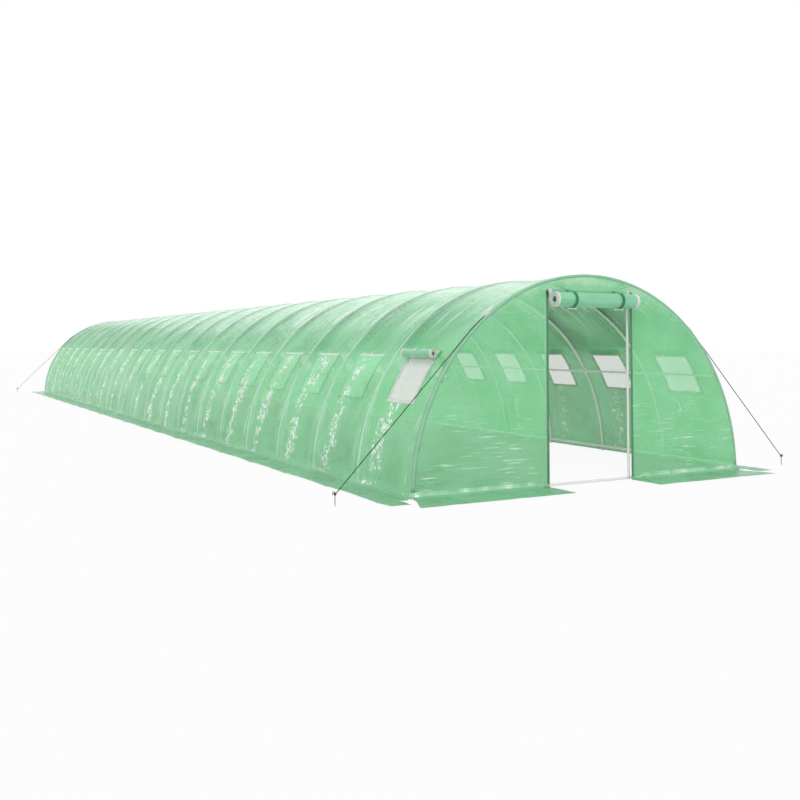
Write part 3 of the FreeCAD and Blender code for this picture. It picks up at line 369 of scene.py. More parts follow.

# %% [markdown]
# Painted glints lie where slack film crumples: down the middle of each bay, and in level
# streaks across a gable. Noise on the film's map says where, and folds say how far.


# %% Painted glints on slack film between the hoops
def wall_painted_glints(tree, uv, along, up):
    """Painted glints: white crackle down the middle of a bay, below the windows' heads.
    The right wall has less of it."""
    drift = clouds(tree, uv, 2.4).outputs["Fac"]
    drift = math_node(tree, "MULTIPLY_ADD", drift, 0.4, along)
    lean = ranged(tree, up, 0.0, 1.2, 0.44, 0.24)
    middle = math_node(tree, "PINGPONG", math_node(tree, "SUBTRACT", drift, lean), 0.5)
    clumps = speckle(tree, uv, EVEN, 8.0, 0.30, 0.60)
    over = axes_of(tree, uv)["Y"]
    share = product(tree, ranged(tree, middle, 0.34, 0.46), clumps,
                    ranged(tree, up, 1.45, 1.2), ranged(tree, over, 3.0, 3.3, 0.5, 1.0),
                    0.85)
    return facets(tree, uv, (1.5, 0.8, 1.0), 50.0, share)


def gable_painted_glints(tree, uv, along, up):
    """Painted glints and sheen on a gable: level white streaks in its lower half, a painted
    highlight on the bend over the skirt, and a painted sheen on the head over the door."""
    streaks = speckle(tree, uv, (0.9, 14.0, 1.0), 3.5, 0.57, 0.70)
    patches = speckle(tree, uv, EVEN, 1.9, 0.44, 0.58)
    streaks = product(tree, streaks, patches, ranged(tree, up, 0.85, 0.6), 0.75)
    bend = product(tree, speckle(tree, uv, EVEN, 5.0, 0.40, 0.62),
                   ranged(tree, up, 0.060, 0.025), 0.7)
    head = product(tree, speckle(tree, uv, (1.0, 2.0, 1.0), 5.0, 0.36, 0.62),
                   ranged(tree, up, 1.62, 1.90), 0.4)
    return highest(tree, streaks, bend, head)


print("crumpled film is told by wall_painted_glints and gable_painted_glints")

# %% [markdown]
# A hoop under the film shows as a deep line on the roof, which is painted shade on the
# film by its far side. Low on the wall it shows as a pale line, a painted highlight for
# the lit tube, with painted highlights on the folds beside it.


# %% Painted shade and highlights at a hoop
def hoop_lines(tree, uv, along, up):
    """Masks of the deep line of painted shade where film lies on a hoop, of the pale line
    of painted highlight that it becomes low on the wall, and of the painted highlights on
    the folds that run down beside it."""
    beside = math_node(tree, "WRAP", along, 0.5, -0.5)
    to_hoop = math_node(tree, "PINGPONG", along, 0.5)
    reach = ranged(tree, up, 1.6, 2.7, -0.28, -0.17)
    fade = math_node(tree, "DIVIDE", beside, reach)
    # deep is painted shade on the film beside each hoop, higher up.
    deep = product(tree, ranged(tree, fade, 1.0, 0.1), ranged(tree, beside, 0.016, 0.010),
                   ranged(tree, up, 1.2, 2.0))
    # pale is a painted highlight low on the wall: the lit tube seen through the film.
    pale = product(tree, ranged(tree, to_hoop, 0.018, 0.010), ranged(tree, up, 2.0, 1.5))
    # Painted highlights on the folds that run down beside each hoop.
    fold = ranged(tree, up, 0.0, 1.05, 0.135, 0.035)
    outer = math_node(tree, "SUBTRACT", to_hoop, fold)
    inner = math_node(tree, "MULTIPLY_ADD", fold, -0.55, to_hoop)
    near = [ranged(tree, math_node(tree, "ABSOLUTE", gap), 0.011, 0.004)
            for gap in (outer, inner)]
    crease_highlights = product(tree, highest(tree, *near), ranged(tree, up, 1.2, 0.95),
                      speckle(tree, uv, EVEN, 5.0, 0.30, 0.60))
    return deep, highest(tree, pale, crease_highlights)


print("hoops stand at every whole metre of the map,", BAYS + 1, "in all")

# %% [markdown]
# The roof is seen at a flat angle. Painted shade darkens patches where the film turns
# from the sky, a painted sheen lies by the ridge, and fine crease lines run over the
# arch between them as painted highlights.


# %% Painted shade and sheen on the roof
def roof_painted_light(tree, uv, up):
    """Masks of the painted shade in patches over the windows, and of the painted sheen by
    the ridge together with the painted highlights on fine crease lines that run over the
    arch between the two."""
    painted_shade = product(tree, speckle(tree, uv, EVEN, 1.7, 0.34, 0.56),
                   ranged(tree, up, 1.1, 1.5), ranged(tree, up, 2.45, 2.1))
    sheen = product(tree, speckle(tree, uv, (2.0, 1.0, 1.0), 2.0, 0.34, 0.58),
                    ranged(tree, up, 2.1, 2.55), 0.42)
    # Fine crease lines on the roof, painted as highlights in the sheen's colour.
    crease_highlights = product(tree, speckle(tree, uv, (8.0, 0.8, 1.0), 1.9, 0.53, 0.58, 1.0),
                      speckle(tree, uv, EVEN, 2.6, 0.42, 0.56),
                      ranged(tree, up, 1.6, 1.9), ranged(tree, up, 2.7, 2.4), 0.7)
    return painted_shade, highest(tree, sheen, crease_highlights)


print("the ridge is", round(HALF_ARC, 2), "m up over the arch")

# %% [markdown]
# One function makes all five films, since they differ in how much one skin hides, in
# colour and in which masks they carry. Fresnel closes the film at a flat angle, but
# only for the camera, so that the light inside stays as it is.


# %% The film's shader
FILM_GREEN = (0.31, 0.92, 0.45)
FILM_DEEP = (0.24, 0.84, 0.36)
# Painted shade in patches on the roof, and a painted sheen by the ridge.
FILM_PAINTED_SHADE = (0.10, 0.60, 0.23)
FILM_PAINTED_SHEEN = (0.84, 0.94, 0.87)
# Painted shade beside the hoops, and painted pale lines for the lit tube and folds low on
# the wall.
FILM_PAINTED_HOOP_SHADE = (0.05, 0.35, 0.15)
FILM_PAINTED_PALE_LINES = (0.56, 0.90, 0.68)
# Painted glints: white where slack film crumples.
FILM_PAINTED_GLINT = (0.90, 1.0, 0.93)
FILM_THREAD = (0.42, 0.78, 0.55)


def film_material(name, alpha, light, deep, stretch, crease, white=None, hoops=False,
                  glancing=0.0):
    """alpha is how much one skin of the film hides, stretch the pull on its crackle,
    crease that crackle's depth in metres, white the function that says where white glints
    are painted where the film crumples, hoops whether the film lies on hoops and so carries
    the painted shade, sheen and highlights of the roof and hoops, and glancing how far it
    closes at a flat angle."""
    material, tree, shader = new_material(
        name, IOR=1.5, Specular_IOR_Level=0.6, Coat_Roughness=0.16)
    uv = own_map(tree)
    axes = axes_of(tree, uv)
    along = axes["X"]
    up = math_node(tree, "PINGPONG", axes["Y"], HALF_ARC)
    crackle = place_group(tree, CRACKLE, Vector=stretched(tree, uv, stretch), Scale=9.0)
    threads = place_group(tree, THREAD_GRID, Vector=uv, Spacing=0.011,
                          Thread=0.16)["Threads"]
    shade = clouds(tree, uv, 2.3, Detail=4.0).outputs["Fac"]
    colour = blend_colours(tree, ranged(tree, shade, 0.36, 0.64), deep, light)
    colour = blend_colours(tree, product(tree, threads, 0.22), colour, FILM_THREAD)
    hidden = alpha
    if hoops:
        # Painted shade in patches on the roof, and a painted sheen and highlights by the
        # ridge.
        painted_shade, sheen = roof_painted_light(tree, uv, up)
        colour = blend_colours(tree, painted_shade, colour, FILM_PAINTED_SHADE)
        colour = blend_colours(tree, sheen, colour, FILM_PAINTED_SHEEN)
        # Painted shade beside the hoops, and painted pale lines low on the wall.
        painted_hoop_shade, painted_pale_lines = hoop_lines(tree, uv, along, up)
        colour = blend_colours(tree, painted_hoop_shade, colour, FILM_PAINTED_HOOP_SHADE)
        colour = blend_colours(tree, painted_pale_lines, colour, FILM_PAINTED_PALE_LINES)
        lines = ranged(tree, highest(tree, painted_hoop_shade, painted_pale_lines), 0.0, 1.0, 0.0, 0.78)
        hidden = highest(tree, math_node(tree, "MULTIPLY_ADD", painted_shade, 0.1, alpha), lines)
        coat = ranged(tree, painted_hoop_shade, 0.0, 0.5, 0.15, 0.0)
        feed(tree, shader.inputs["Coat Weight"], coat)
        glancing = ranged(tree, painted_hoop_shade, 0.0, 0.5, glancing, 0.1)
    height = product(tree, crackle["Height"], crackle["Patches"],
                     ranged(tree, up, 1.7, 0.9, 0.12, 1.0))
    if white:
        # Painted glints: where slack film crumples it is painted white, more closed and
        # metallic.
        painted_glints = white(tree, uv, along, up)
        colour = blend_colours(tree, painted_glints, colour, FILM_PAINTED_GLINT)
        hidden = math_node(tree, "MULTIPLY_ADD", painted_glints, 0.5, hidden)
        height = math_node(tree, "MULTIPLY_ADD", painted_glints, 0.05, height)
        feed(tree, shader.inputs["Metallic"], product(tree, painted_glints, 0.7))
    feed(tree, shader.inputs["Base Color"], colour)
    glance = add_node(tree, "ShaderNodeFresnel", {"IOR": 1.5}).outputs["Fac"]
    seen = add_node(tree, "ShaderNodeLightPath").outputs["Is Camera Ray"]
    closed = math_node(tree, "ADD", product(tree, glance, seen, glancing), hidden)
    feed(tree, shader.inputs["Alpha"], math_node(tree, "MINIMUM", closed, 1.0))
    feed(tree, shader.inputs["Roughness"], ranged(tree, shade, 0.3, 0.7, 0.20, 0.33))
    first = bump(tree, shader, height, crease)
    bump(tree, shader, threads, 0.0003, 0.5, first)
    return material


print("the film is between", FILM_DEEP, "and", FILM_GREEN)

# %% [markdown]
# One skin of the cover hides about a third of what is behind it. A skirt lies on the
# ground and hides more, and a rolled door is so many skins thick that its outer one
# may as well be closed. A gable's crackle is pulled level, so its map is stretched.


# %% Five films
GABLE_GREEN = (0.36, 0.93, 0.50)
SKIRT_GREEN, SKIRT_DEEP = (0.26, 0.66, 0.36), (0.20, 0.57, 0.29)
DOOR_GREEN, DOOR_DEEP = (0.26, 0.69, 0.41), (0.20, 0.60, 0.34)
LEVEL = (0.35, 1.6, 1.0)
FILM = film_material("cover film", 0.35, FILM_GREEN, FILM_DEEP, EVEN, 0.03, wall_painted_glints,
                     hoops=True, glancing=0.22)
GABLE_FILM = film_material("gable film", 0.37, GABLE_GREEN, FILM_DEEP, LEVEL, 0.02,
                           gable_painted_glints)
SKIRT_FILM = film_material("skirt film", 0.75, SKIRT_GREEN, SKIRT_DEEP, EVEN, 0.02)
FLAP_FILM = film_material("flap film", 0.30, FILM_GREEN, FILM_DEEP, EVEN, 0.03,
                          wall_painted_glints, glancing=0.5)
DOOR_FILM = film_material("door film", 0.93, DOOR_GREEN, DOOR_DEEP, EVEN, 0.004)
print("film materials:", FILM.name, GABLE_FILM.name, SKIRT_FILM.name)

# %% [markdown]
# ## Tapes, straps, cord and mesh
#
# The white tape that binds the flaps and the edge of the door, the green straps and the
# white ones are all woven, so they share the weave. The guy ropes are a darker green.


# %% Woven finishes
# Each by its light and its dark threads, the pitch of its weave and its roughness.
WOVEN = {
    "white tape": ((0.84, 0.86, 0.83), (0.66, 0.70, 0.66), 0.002, 0.6),
    "green strap": ((0.035, 0.30, 0.13), (0.02, 0.20, 0.08), 0.003, 0.62),
    "hem tape": ((0.42, 0.72, 0.50), (0.20, 0.50, 0.30), 0.002, 0.5),
    "flap binding": ((0.80, 0.92, 0.82), (0.52, 0.76, 0.60), 0.002, 0.5),
    "zip tape": ((0.16, 0.40, 0.25), (0.08, 0.24, 0.14), 0.0015, 0.7),
    "zip teeth": ((0.22, 0.46, 0.31), (0.12, 0.30, 0.19), 0.004, 0.35),
    "guy rope": ((0.016, 0.085, 0.048), (0.006, 0.040, 0.022), 0.005, 0.7),
}


def woven_material(name):
    light, dark, pitch, rough = WOVEN[name]
    material, tree, shader = new_material(name, Roughness=rough, Specular_IOR_Level=0.3)
    # A rope has no map of its own, so its weave is laid over it in space.
    rope = name == "guy rope"
    place = in_space(tree) if rope else own_map(tree)
    weave = place_group(tree, WEAVE, Vector=place, Pitch=pitch)["Height"]
    fade = clouds(tree, place, 9.0, Detail=3.0).outputs["Fac"]
    mask = math_node(tree, "MULTIPLY_ADD", fade, 0.4, product(tree, weave, 0.6))
    feed(tree, shader.inputs["Base Color"], blend_colours(tree, mask, dark, light))
    bump(tree, shader, weave, 0.0008 if rope else 0.0004)
    return material


(WHITE_TAPE, GREEN_STRAP, HEM_TAPE, FLAP_EDGE, ZIP_TAPE, ZIP_TEETH,
 ROPE) = [woven_material(name) for name in WOVEN]
print("woven finishes:", list(WOVEN))

# %% [markdown]
# The windows' insect mesh has holes of a millimetre. They can't be modelled or seen
# from a few steps away, so it is one pale skin that lets a part of the light through.


# %% The insect mesh of the windows
def screen_material():
    material, tree, shader = new_material("insect mesh", Transmission_Weight=0.62,
                                          IOR=1.02, Roughness=0.25,
                                          Specular_IOR_Level=0.35)
    threads = place_group(tree, THREAD_GRID, Vector=own_map(tree), Spacing=0.0016,
                          Thread=0.3)["Threads"]
    colour = blend_colours(tree, threads, (0.92, 0.92, 0.91), (0.99, 0.99, 0.98))
    feed(tree, shader.inputs["Base Color"], colour)
    bump(tree, shader, threads, 0.0004)
    return material


SCREEN = screen_material()
print("mesh:", SCREEN.name)

# %% [markdown]
# ## Steel and plastic
#
# The tubes are thin galvanised steel: pale, with faint cloudy spangle and fine scuffs
# that run along them. Fittings are the same but duller, screws and pegs are zinc
# plated, and the toggles are white nylon with a slight grain.


# %% Hard finishes
def hard_material(name, light, dark, metallic, rough, grain=28.0):
    """grain is how many clouds of the finish lie on a metre."""
    material, tree, shader = new_material(name, Metallic=metallic)
    place = in_space(tree)
    spangle = add_node(tree, "ShaderNodeTexVoronoi",
                       {"Vector": place, "Scale": grain * 3, "Randomness": 1.0},
                       feature="SMOOTH_F1").outputs["Distance"]
    wear = clouds(tree, place, grain, Detail=6.0, Roughness=0.7).outputs["Fac"]
    colour = blend_colours(tree, product(tree, spangle, wear), light, dark)
    feed(tree, shader.inputs["Base Color"], colour)
    feed(tree, shader.inputs["Roughness"],
         ranged(tree, wear, 0.3, 0.7, rough - 0.07, rough + 0.09))
    bump(tree, shader, wear, 0.00015)
    return material


DRESS = {
    "frame_steel": hard_material("galvanised tube", (0.90, 0.91, 0.89),
                                 (0.66, 0.68, 0.66), 0.12, 0.38),
    "fitting_steel": hard_material("fitting steel", (0.80, 0.80, 0.78),
                                   (0.50, 0.50, 0.50), 0.55, 0.42),
    "screw_steel": hard_material("zinc plate", (0.78, 0.79, 0.76),
                                 (0.48, 0.48, 0.45), 0.9, 0.30, 60.0),
    "peg_steel": hard_material("peg steel", (0.30, 0.31, 0.31),
                               (0.14, 0.15, 0.15), 0.8, 0.38, 60.0),
    "zip_metal": hard_material("black enamel", (0.035, 0.037, 0.036),
                               (0.015, 0.016, 0.016), 0.0, 0.32, 90.0),
}
TOGGLE = hard_material("white nylon", (0.88, 0.88, 0.86), (0.78, 0.78, 0.75), 0.0,
                       0.38, 90.0)
print("hard finishes:", [finish.name for finish in DRESS.values()], TOGGLE.name)

# %% [markdown]
# The rigid pieces keep the meshes that they came with. Each only gets the finish that
# the record names for it, in every slot that it has.

# %% Dress the rigid pieces
RIGID = {
    "frame_steel": ["hoop_tubes_right_lower", "hoop_tubes_right_upper", "hoop_tubes_top",
                    "hoop_tubes_left_upper", "hoop_tubes_left_lower", "ridge_rail_tubes",
                    "side_rail_tubes", "base_rail_tubes", "door_posts", "door_headers",
                    "door_sills", "gable_base_tubes"],
    "fitting_steel": ["header_tees", "foot_tees"],
    "screw_steel": ["frame_screws"],
    "peg_steel": ["guy_pegs"],
    "zip_metal": [f"{end}_{side}_zip_{part}" for end in ("front", "rear")
                  for side in ("left", "right") for part in ("slider", "pull")],
}
for slot, names in RIGID.items():
    for name in names:
        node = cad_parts[name]
        if not node.material_slots:
            node.data.materials.append(DRESS[slot])
        for held in node.material_slots:
            held.material = DRESS[slot]
print("rigid nodes dressed:", sum(len(names) for names in RIGID.values()))

# %% [markdown]
# ## From a bmesh to a piece
#
# Every new piece goes the same way: a mesh in its place, an object at the origin, a
# body to ride on, its finishes, and its map in metres. A sheet gets its gauge last,
# so that both of its skins are alike.


# %% Helpers for pieces
def unwrap(bm, mapping):
    layer = bm.loops.layers.uv.new("film")
    for face in bm.faces:
        centre = face.calc_center_median()
        for loop in face.loops:
            loop[layer].uv = mapping(loop.vert.co, centre)


def new_piece(name, bm, materials, body=ROOT, gauge=0.0, smooth=True):
    mesh = bpy.data.meshes.new(name)
    bm.normal_update()
    bm.to_mesh(mesh)
    bm.free()
    piece = bpy.data.objects.new(name, mesh)
    for material in materials:
        mesh.materials.append(material)
    mesh.polygons.foreach_set("use_smooth", [smooth] * len(mesh.polygons))
    bpy.context.collection.objects.link(piece)
    if gauge:
        skin = piece.modifiers.new("gauge", "SOLIDIFY")
        skin.thickness = gauge
        skin.offset = 0.0
    if body:
        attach(piece, body)
    print(f"{name}: {len(mesh.polygons)} faces")
    return piece


def to_its_end(bm, end):
    """Pieces of a gable are made at the front one and turned about to the rear."""
    if end == "rear":
        bmesh.ops.rotate(bm, verts=bm.verts, matrix=Matrix.Rotation(math.pi, 3, "Z"))


def second_finish(bm, test):
    """Faces whose middle passes the test take the second material of the piece."""
    for face in bm.faces:
        face.material_index = int(test(face.calc_center_median()))


SIDES = {"left": -1, "right": 1}
ENDS = {"front": -1, "rear": 1}
print("pieces are made for the sides", list(SIDES), "and the ends", list(ENDS))

# %% [markdown]
# Most soft shapes here are a line of points that is spun about an axis or drawn out.
# They could be modelled by hand, but then a change of one angle would mean doing them
# again. So these helpers hand a line from step to step, and weld what meets.


# %% Lines, spins and copies
def verts_in(parts):
    return [part for part in parts if isinstance(part, bmesh.types.BMVert)]


def edges_in(parts):
    return [part for part in parts if isinstance(part, bmesh.types.BMEdge)]


def with_verts(edges):
    return edges + list({vert for edge in edges for vert in edge.verts})


def all_of(bm):
    return bm.verts[:] + bm.edges[:] + bm.faces[:]


def added_since(bm, before):
    return [vert for vert in bm.verts if vert not in before]


def copy_of(bm, parts, step):
    """Moves a copy of some parts by a step."""
    copy = bmesh.ops.duplicate(bm, geom=parts)["geom"]
    bmesh.ops.translate(bm, verts=verts_in(copy), vec=step)


def weld(bm, distance=0.00001):
    bmesh.ops.remove_doubles(bm, verts=bm.verts, dist=distance)


def turn_faces_out(bm):
    bmesh.ops.recalc_face_normals(bm, faces=bm.faces)


def degrees_up(point):
    """Degrees round the tunnel from the nearer foot."""
    return math.degrees(math.atan2(point.z, abs(point.x)))


def line_through(bm, points):
    made = [bm.verts.new(point) for point in points]
    return made + [bm.edges.new(pair) for pair in zip(made, made[1:])]


def spin_round(bm, line, degrees, steps, centre=(0, 0, 0), axis=(0, -1, 0)):
    """Sweeps a line about an axis and returns its last copy."""
    made = bmesh.ops.spin(bm, geom=line, cent=centre, axis=axis,
                          angle=math.radians(degrees), steps=steps)
    return made["geom_last"]


def edges_where(bm, test):
    return [edge for edge in bm.edges if all(test(vert.co) for vert in edge.verts)]


def extrude_by(bm, edges, step):
    made = bmesh.ops.extrude_edge_only(bm, edges=edges)["geom"]
    bmesh.ops.translate(bm, verts=verts_in(made), vec=step)
    return edges_in(made)


def smoothstep(low, high, value):
    t = min(1.0, max(0.0, (value - low) / (high - low)))
    return t * t * (3 - 2 * t)


print("a quarter of the arch is at", tuple(round(v, 3) for v in around(RADIUS, 45)))

# %% [markdown]
# ## The guy ropes
#
# Four ropes hold the ends down. Each lies on the cover for a hand's width below its
# tab and then runs straight to a peg. The line is a NURBS spline through the few
# control points of the rope's route, and the cord keeps its real length.

# %% The ropes
ROPE_RADIUS = 0.004
ROPE_LIFT = 0.0043
ROPE_FOOT = Vector((2.7178, 0.0, 0.106))
LAST_STRETCH = 0.048
# The angle at the tab, the angle and radius where the rope leaves the film, its length.
ROPE_ROUTES = {"left": (51.85, 48.31, 2.00813, 2.086),
               "right": (46.55, 45.66, 2.00454, 1.901)}


def rope_points(side):
    top_angle, corner_angle, corner_radius, _ = ROPE_ROUTES[side]
    top = around(RADIUS + ROPE_LIFT, top_angle)
    corner = around(corner_radius, corner_angle)
    down = (ROPE_FOOT - corner).normalized()
    past_corner = corner + down * (corner - top).length
    before_peg = ROPE_FOOT - down * LAST_STRETCH
    return [top, corner, past_corner, before_peg, ROPE_FOOT]


def make_rope(end, side):
    curve = bpy.data.curves.new(f"{end}_{side}_rope", "CURVE")
    curve.dimensions = "3D"
    points = [Vector((SIDES[side] * point.x, ENDS[end] * HALF_LENGTH, point.z))
              for point in rope_points(side)]
    spline = curve.splines.new("NURBS")
    spline.points.add(len(points) - 1)
    for made, point in zip(spline.points, points):
        made.co = (*point, 1.0)
    spline.order_u = 3
    spline.use_endpoint_u = True
    spline.resolution_u = 12
    curve.bevel_depth = ROPE_RADIUS
    curve.bevel_resolution = 4
    curve.use_fill_caps = True
    curve.materials.append(ROPE)
    rope = bpy.data.objects.new(f"{end}_{side}_rope", curve)
    bpy.context.collection.objects.link(rope)
    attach(rope, ROOT)
    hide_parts(f"{end}_{side}_guy_rope")
    return rope, points


print("rope lengths:", {side: route[3] for side, route in ROPE_ROUTES.items()})

# %% [markdown]
# A rope ends in turns round something: three round the peg, and one through the tab
# above. A turn could be a bent curve, but a small circle spun fully round is closed by
# itself and needs no joint.


# %% The turns that hold a rope
def ring(bm, centre, normal, wide, thick, squeeze=(1, 1, 1)):
    """One turn of rope: a small circle spun fully round."""
    before = set(bm.verts)
    made = bmesh.ops.create_circle(bm, segments=10, radius=thick)["verts"]
    bmesh.ops.rotate(bm, verts=made, matrix=Matrix.Rotation(math.radians(90), 3, "X"))
    bmesh.ops.translate(bm, verts=made, vec=(wide, 0, 0))
    profile = made + list({edge for vert in made for edge in vert.link_edges})
    bmesh.ops.spin(bm, geom=profile, cent=(0, 0, 0), axis=(0, 0, 1),
                   angle=math.tau, steps=20, use_merge=True)
    turned = added_since(bm, before)
    bmesh.ops.rotate(bm, verts=turned,
                     matrix=Vector((0, 0, 1)).rotation_difference(normal).to_matrix())
    bmesh.ops.scale(bm, verts=turned, vec=squeeze)
    bmesh.ops.translate(bm, verts=turned, vec=centre)


PEG_AT = 2.725
TURNS_ON_PEG = (0.097, 0.1035, 0.110)


def slanted_map(point, centre):
    return point.x + point.y, point.z


def make_knots(end, side, top, foot):
    """Three turns round the peg, and one through the tab."""
    outward = SIDES[side]
    bm = bmesh.new()
    for height in TURNS_ON_PEG:
        ring(bm, (outward * PEG_AT, foot.y, height), Vector((0.10, 0.05, 1)).normalized(),
             0.0085, 0.0034)
    turn_faces_out(bm)
    unwrap(bm, slanted_map)
    low = new_piece(f"{end}_{side}_rope_knot", bm, [ROPE])
    bm = bmesh.new()
    angle = math.radians(ROPE_ROUTES[side][0] + 0.33)
    place = Vector((outward * math.cos(angle), 0, math.sin(angle))) * (RADIUS + 0.0052)
    ring(bm, (0, 0, 0), Vector((0, 1, 0)), 0.0125, 0.0028, (1, 1, 0.33))
    tilt = outward * (math.radians(90) - angle)
    bmesh.ops.rotate(bm, verts=bm.verts, matrix=Matrix.Rotation(tilt, 3, "Y"))
    bmesh.ops.translate(bm, verts=bm.verts, vec=(place.x, top.y, place.z))
    turn_faces_out(bm)
    unwrap(bm, slanted_map)
    high = new_piece(f"{end}_{side}_rope_loop", bm, [ROPE])
    return low, high


for end in ENDS:
    for side in SIDES:
        rope, points = make_rope(end, side)
        knots = make_knots(end, side, points[0], points[-1])

# %% [markdown]
# ## The tabs of the ropes
#
# A doubled strap is sewn to the cover where each rope begins, with an eyelet in it. It
# is a short arc panel with a hole, so it starts as a line spun round the tunnel.


# %% The tabs
TAB_FEET = {"right": 46.7, "left": 52.0}
TAB_STATIONS = (-0.015, -0.0135, -0.006, 0.006, 0.0135, 0.015)
TAB_ARCS = ((0.06, 1), (0.26, 1), (0.36, 2), (1.26, 4), (0.06, 1))


def make_tabs():
    bm = bmesh.new()
    for side, low in TAB_FEET.items():
        for y in (-HALF_LENGTH, HALF_LENGTH):
            before = set(bm.verts)
            line = line_through(bm, [around(RADIUS + 0.0018, low, s) for s in TAB_STATIONS])
            for degrees, steps in TAB_ARCS:
                line = spin_round(bm, line, degrees, steps)
            hole = [face for face in bm.faces
                    if face.verts[0] not in before
                    and abs(face.calc_center_median().y) < 0.005
                    and 0.33 < degrees_up(face.calc_center_median()) - low < 0.67]
            bmesh.ops.delete(bm, geom=hole, context="FACES_ONLY")
            fresh = added_since(bm, before)
            bmesh.ops.scale(bm, verts=fresh, vec=(SIDES[side], 1, 1))
            bmesh.ops.translate(bm, verts=fresh, vec=(0, y, 0))
    turn_faces_out(bm)
    unwrap(bm, lambda point, centre: (point.y, math.atan2(point.z, abs(point.x)) * RADIUS))
    tabs = new_piece("guy_tabs_webbing", bm, [WHITE_TAPE], gauge=0.0022)
    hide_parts("guy_tabs")


make_tabs()

# %% [markdown]
# ## The cover
#
# One film goes from the ground on one side over all hoops to the ground on the other.
# Between two hoops it is pulled a little inward, like a rope bridge on its side, so
# every hoop stands out as a ridge. Low on the wall it also has folds beside the hoops.
# Simulating twenty metres of film would cost minutes and give the same shape twenty
# times. So a line of points across one bay is spun over the arch, copied twenty times,
# and then every point is moved inward by the function below.


# %% How the film hangs
FREE_STATION = 0.07
LAST_STATION = 0.285
DEEPEST = 0.0235


def tent_fold(height):
    """Low on the wall the film spans a little on each side of a hoop before it sinks
    in, and the crease there runs up to meet the hoop. Its distance from the hoop."""
    low = 0.135 - 0.10 * min(1.0, height / 1.05)
    return low + (FREE_STATION - low) * smoothstep(1.02, 1.3, height)


def hang(y, degrees):
    """How far inside the hoops' circle the film lies."""
    to_hoop = abs(y - round(y))
    height = RADIUS * math.radians(min(degrees, 180 - degrees))
    taut = tent_fold(height) * (1 - smoothstep(0.9, 1.15, height))
    across = max(0.0, to_hoop - taut) / (0.5 - taut)
    hollow = across * (2 - across)
    fade = smoothstep(1.0, 7.0, min(degrees, 180 - degrees))
    own_bay = Vector((math.floor(y) * 3.7, degrees * 0.02, 1.0))
    depth = 0.0185 + 0.004 * noise.noise(own_bay)
    crumple = 0.0050 * noise.noise(Vector((y * 5.0, degrees * 0.11, 4.0)))
    crumple += 0.0026 * noise.noise(Vector((y * 13.0, degrees * 0.30, 9.0)))
    crumple *= hollow * (1 - 0.65 * smoothstep(0.8, 1.9, height))
    return max(0.0, min(DEEPEST, (depth * hollow + crumple) * fade))


def follow_fold(verts):
    """Slides one station of each bay along the wall, so that it lies on the crease."""
    for vert in verts:
        hoop = round(vert.co.y)
        off = vert.co.y - hoop
        height = RADIUS * math.atan2(vert.co.z, abs(vert.co.x))
        fold = tent_fold(height)
        distance = abs(off)
        if distance < FREE_STATION:
            distance *= fold / FREE_STATION
        elif distance < LAST_STATION:
            share = (distance - FREE_STATION) / (LAST_STATION - FREE_STATION)
            distance = fold + share * (LAST_STATION - fold)
        vert.co.y = hoop + math.copysign(distance, off)


def sag_into(verts, lift=0.0):
    """Moves points that lie on the hoops' circle to where the film hangs."""
    for vert in verts:
        degrees = math.degrees(math.atan2(vert.co.z, vert.co.x))
        wanted = 1 - (hang(vert.co.y, degrees) - lift) / RADIUS
        vert.co.x *= wanted
        vert.co.z *= wanted


FILM_SKIN = RADIUS - 0.0004
STATIONS = [-0.5, -0.468, -0.43, -0.37, -0.30, -0.215, -0.15, -0.08, 0.0,
            0.08, 0.15, 0.215, 0.30, 0.37, 0.43, 0.468, 0.5]
FOOT_ANGLE = 1.72
FOOT_BEND = 0.06
WALL = (WINDOW_LOW - FOOT_ANGLE, 18)
WINDOW = (12.8, 8)
ARCH = [WALL, WINDOW, (106.0, 44), WINDOW, WALL]
print("one bay:", len(STATIONS), "stations by", sum(steps for _, steps in ARCH), "steps")

# %% [markdown]
# The foot of the film turns outward with a soft bend and lies on the ground as a skirt.
# The same line of edges is spun a quarter turn about the bend and then drawn outward.
# The skirt's edge bows in and out from bay to bay, and it wavers.


# %% The skirt and the ends of the cover
def film_map(point, centre):
    """The map follows the film: along the tunnel, and over the arch from foot to foot."""
    if abs(centre.x) > RADIUS and centre.z < FOOT_BEND:
        over = -(abs(point.x) - RADIUS) - 0.03
    else:
        over = RADIUS * math.atan2(point.z, abs(point.x))
    return point.y, over if centre.x > 0 else 2 * HALF_ARC - over


SKIRT_STEPS = (0.06, 0.08, 0.06, 0.046)
CORNER_STEPS = (0.07, 0.08, 0.035)
CORNER_FROM = 2.115
END_LAP = 0.0128


def draw_skirt(bm, edges, sign):
    """Bends the foot of a wall outward and lays the skirt on the ground."""
    centre = (sign * (RADIUS + FOOT_BEND), 0, FOOT_BEND)
    out = edges_in(spin_round(bm, with_verts(edges), 90, 5, centre, (0, -sign, 0)))
    for width in SKIRT_STEPS:
        out = extrude_by(bm, out, (sign * width, 0, 0))


def in_window(face):
    centre = face.calc_center_median()
    return abs(centre.y) < WINDOW_HALF and WINDOW_LOW < degrees_up(centre) < WINDOW_HIGH


def lap_over_end(bm, sign):
    """The film laps over the end hoop, and the skirt goes on round the corner."""
    rim = edges_where(bm, lambda co: abs(co.y - sign * HALF_LENGTH) < 1e-4)
    rim = extrude_by(bm, rim, (0, sign * END_LAP, 0))
    corner = [edge for edge in rim
              if all(abs(vert.co.x) > CORNER_FROM for vert in edge.verts)]
    for step in CORNER_STEPS:
        corner = extrude_by(bm, corner, (0, sign * step, 0))


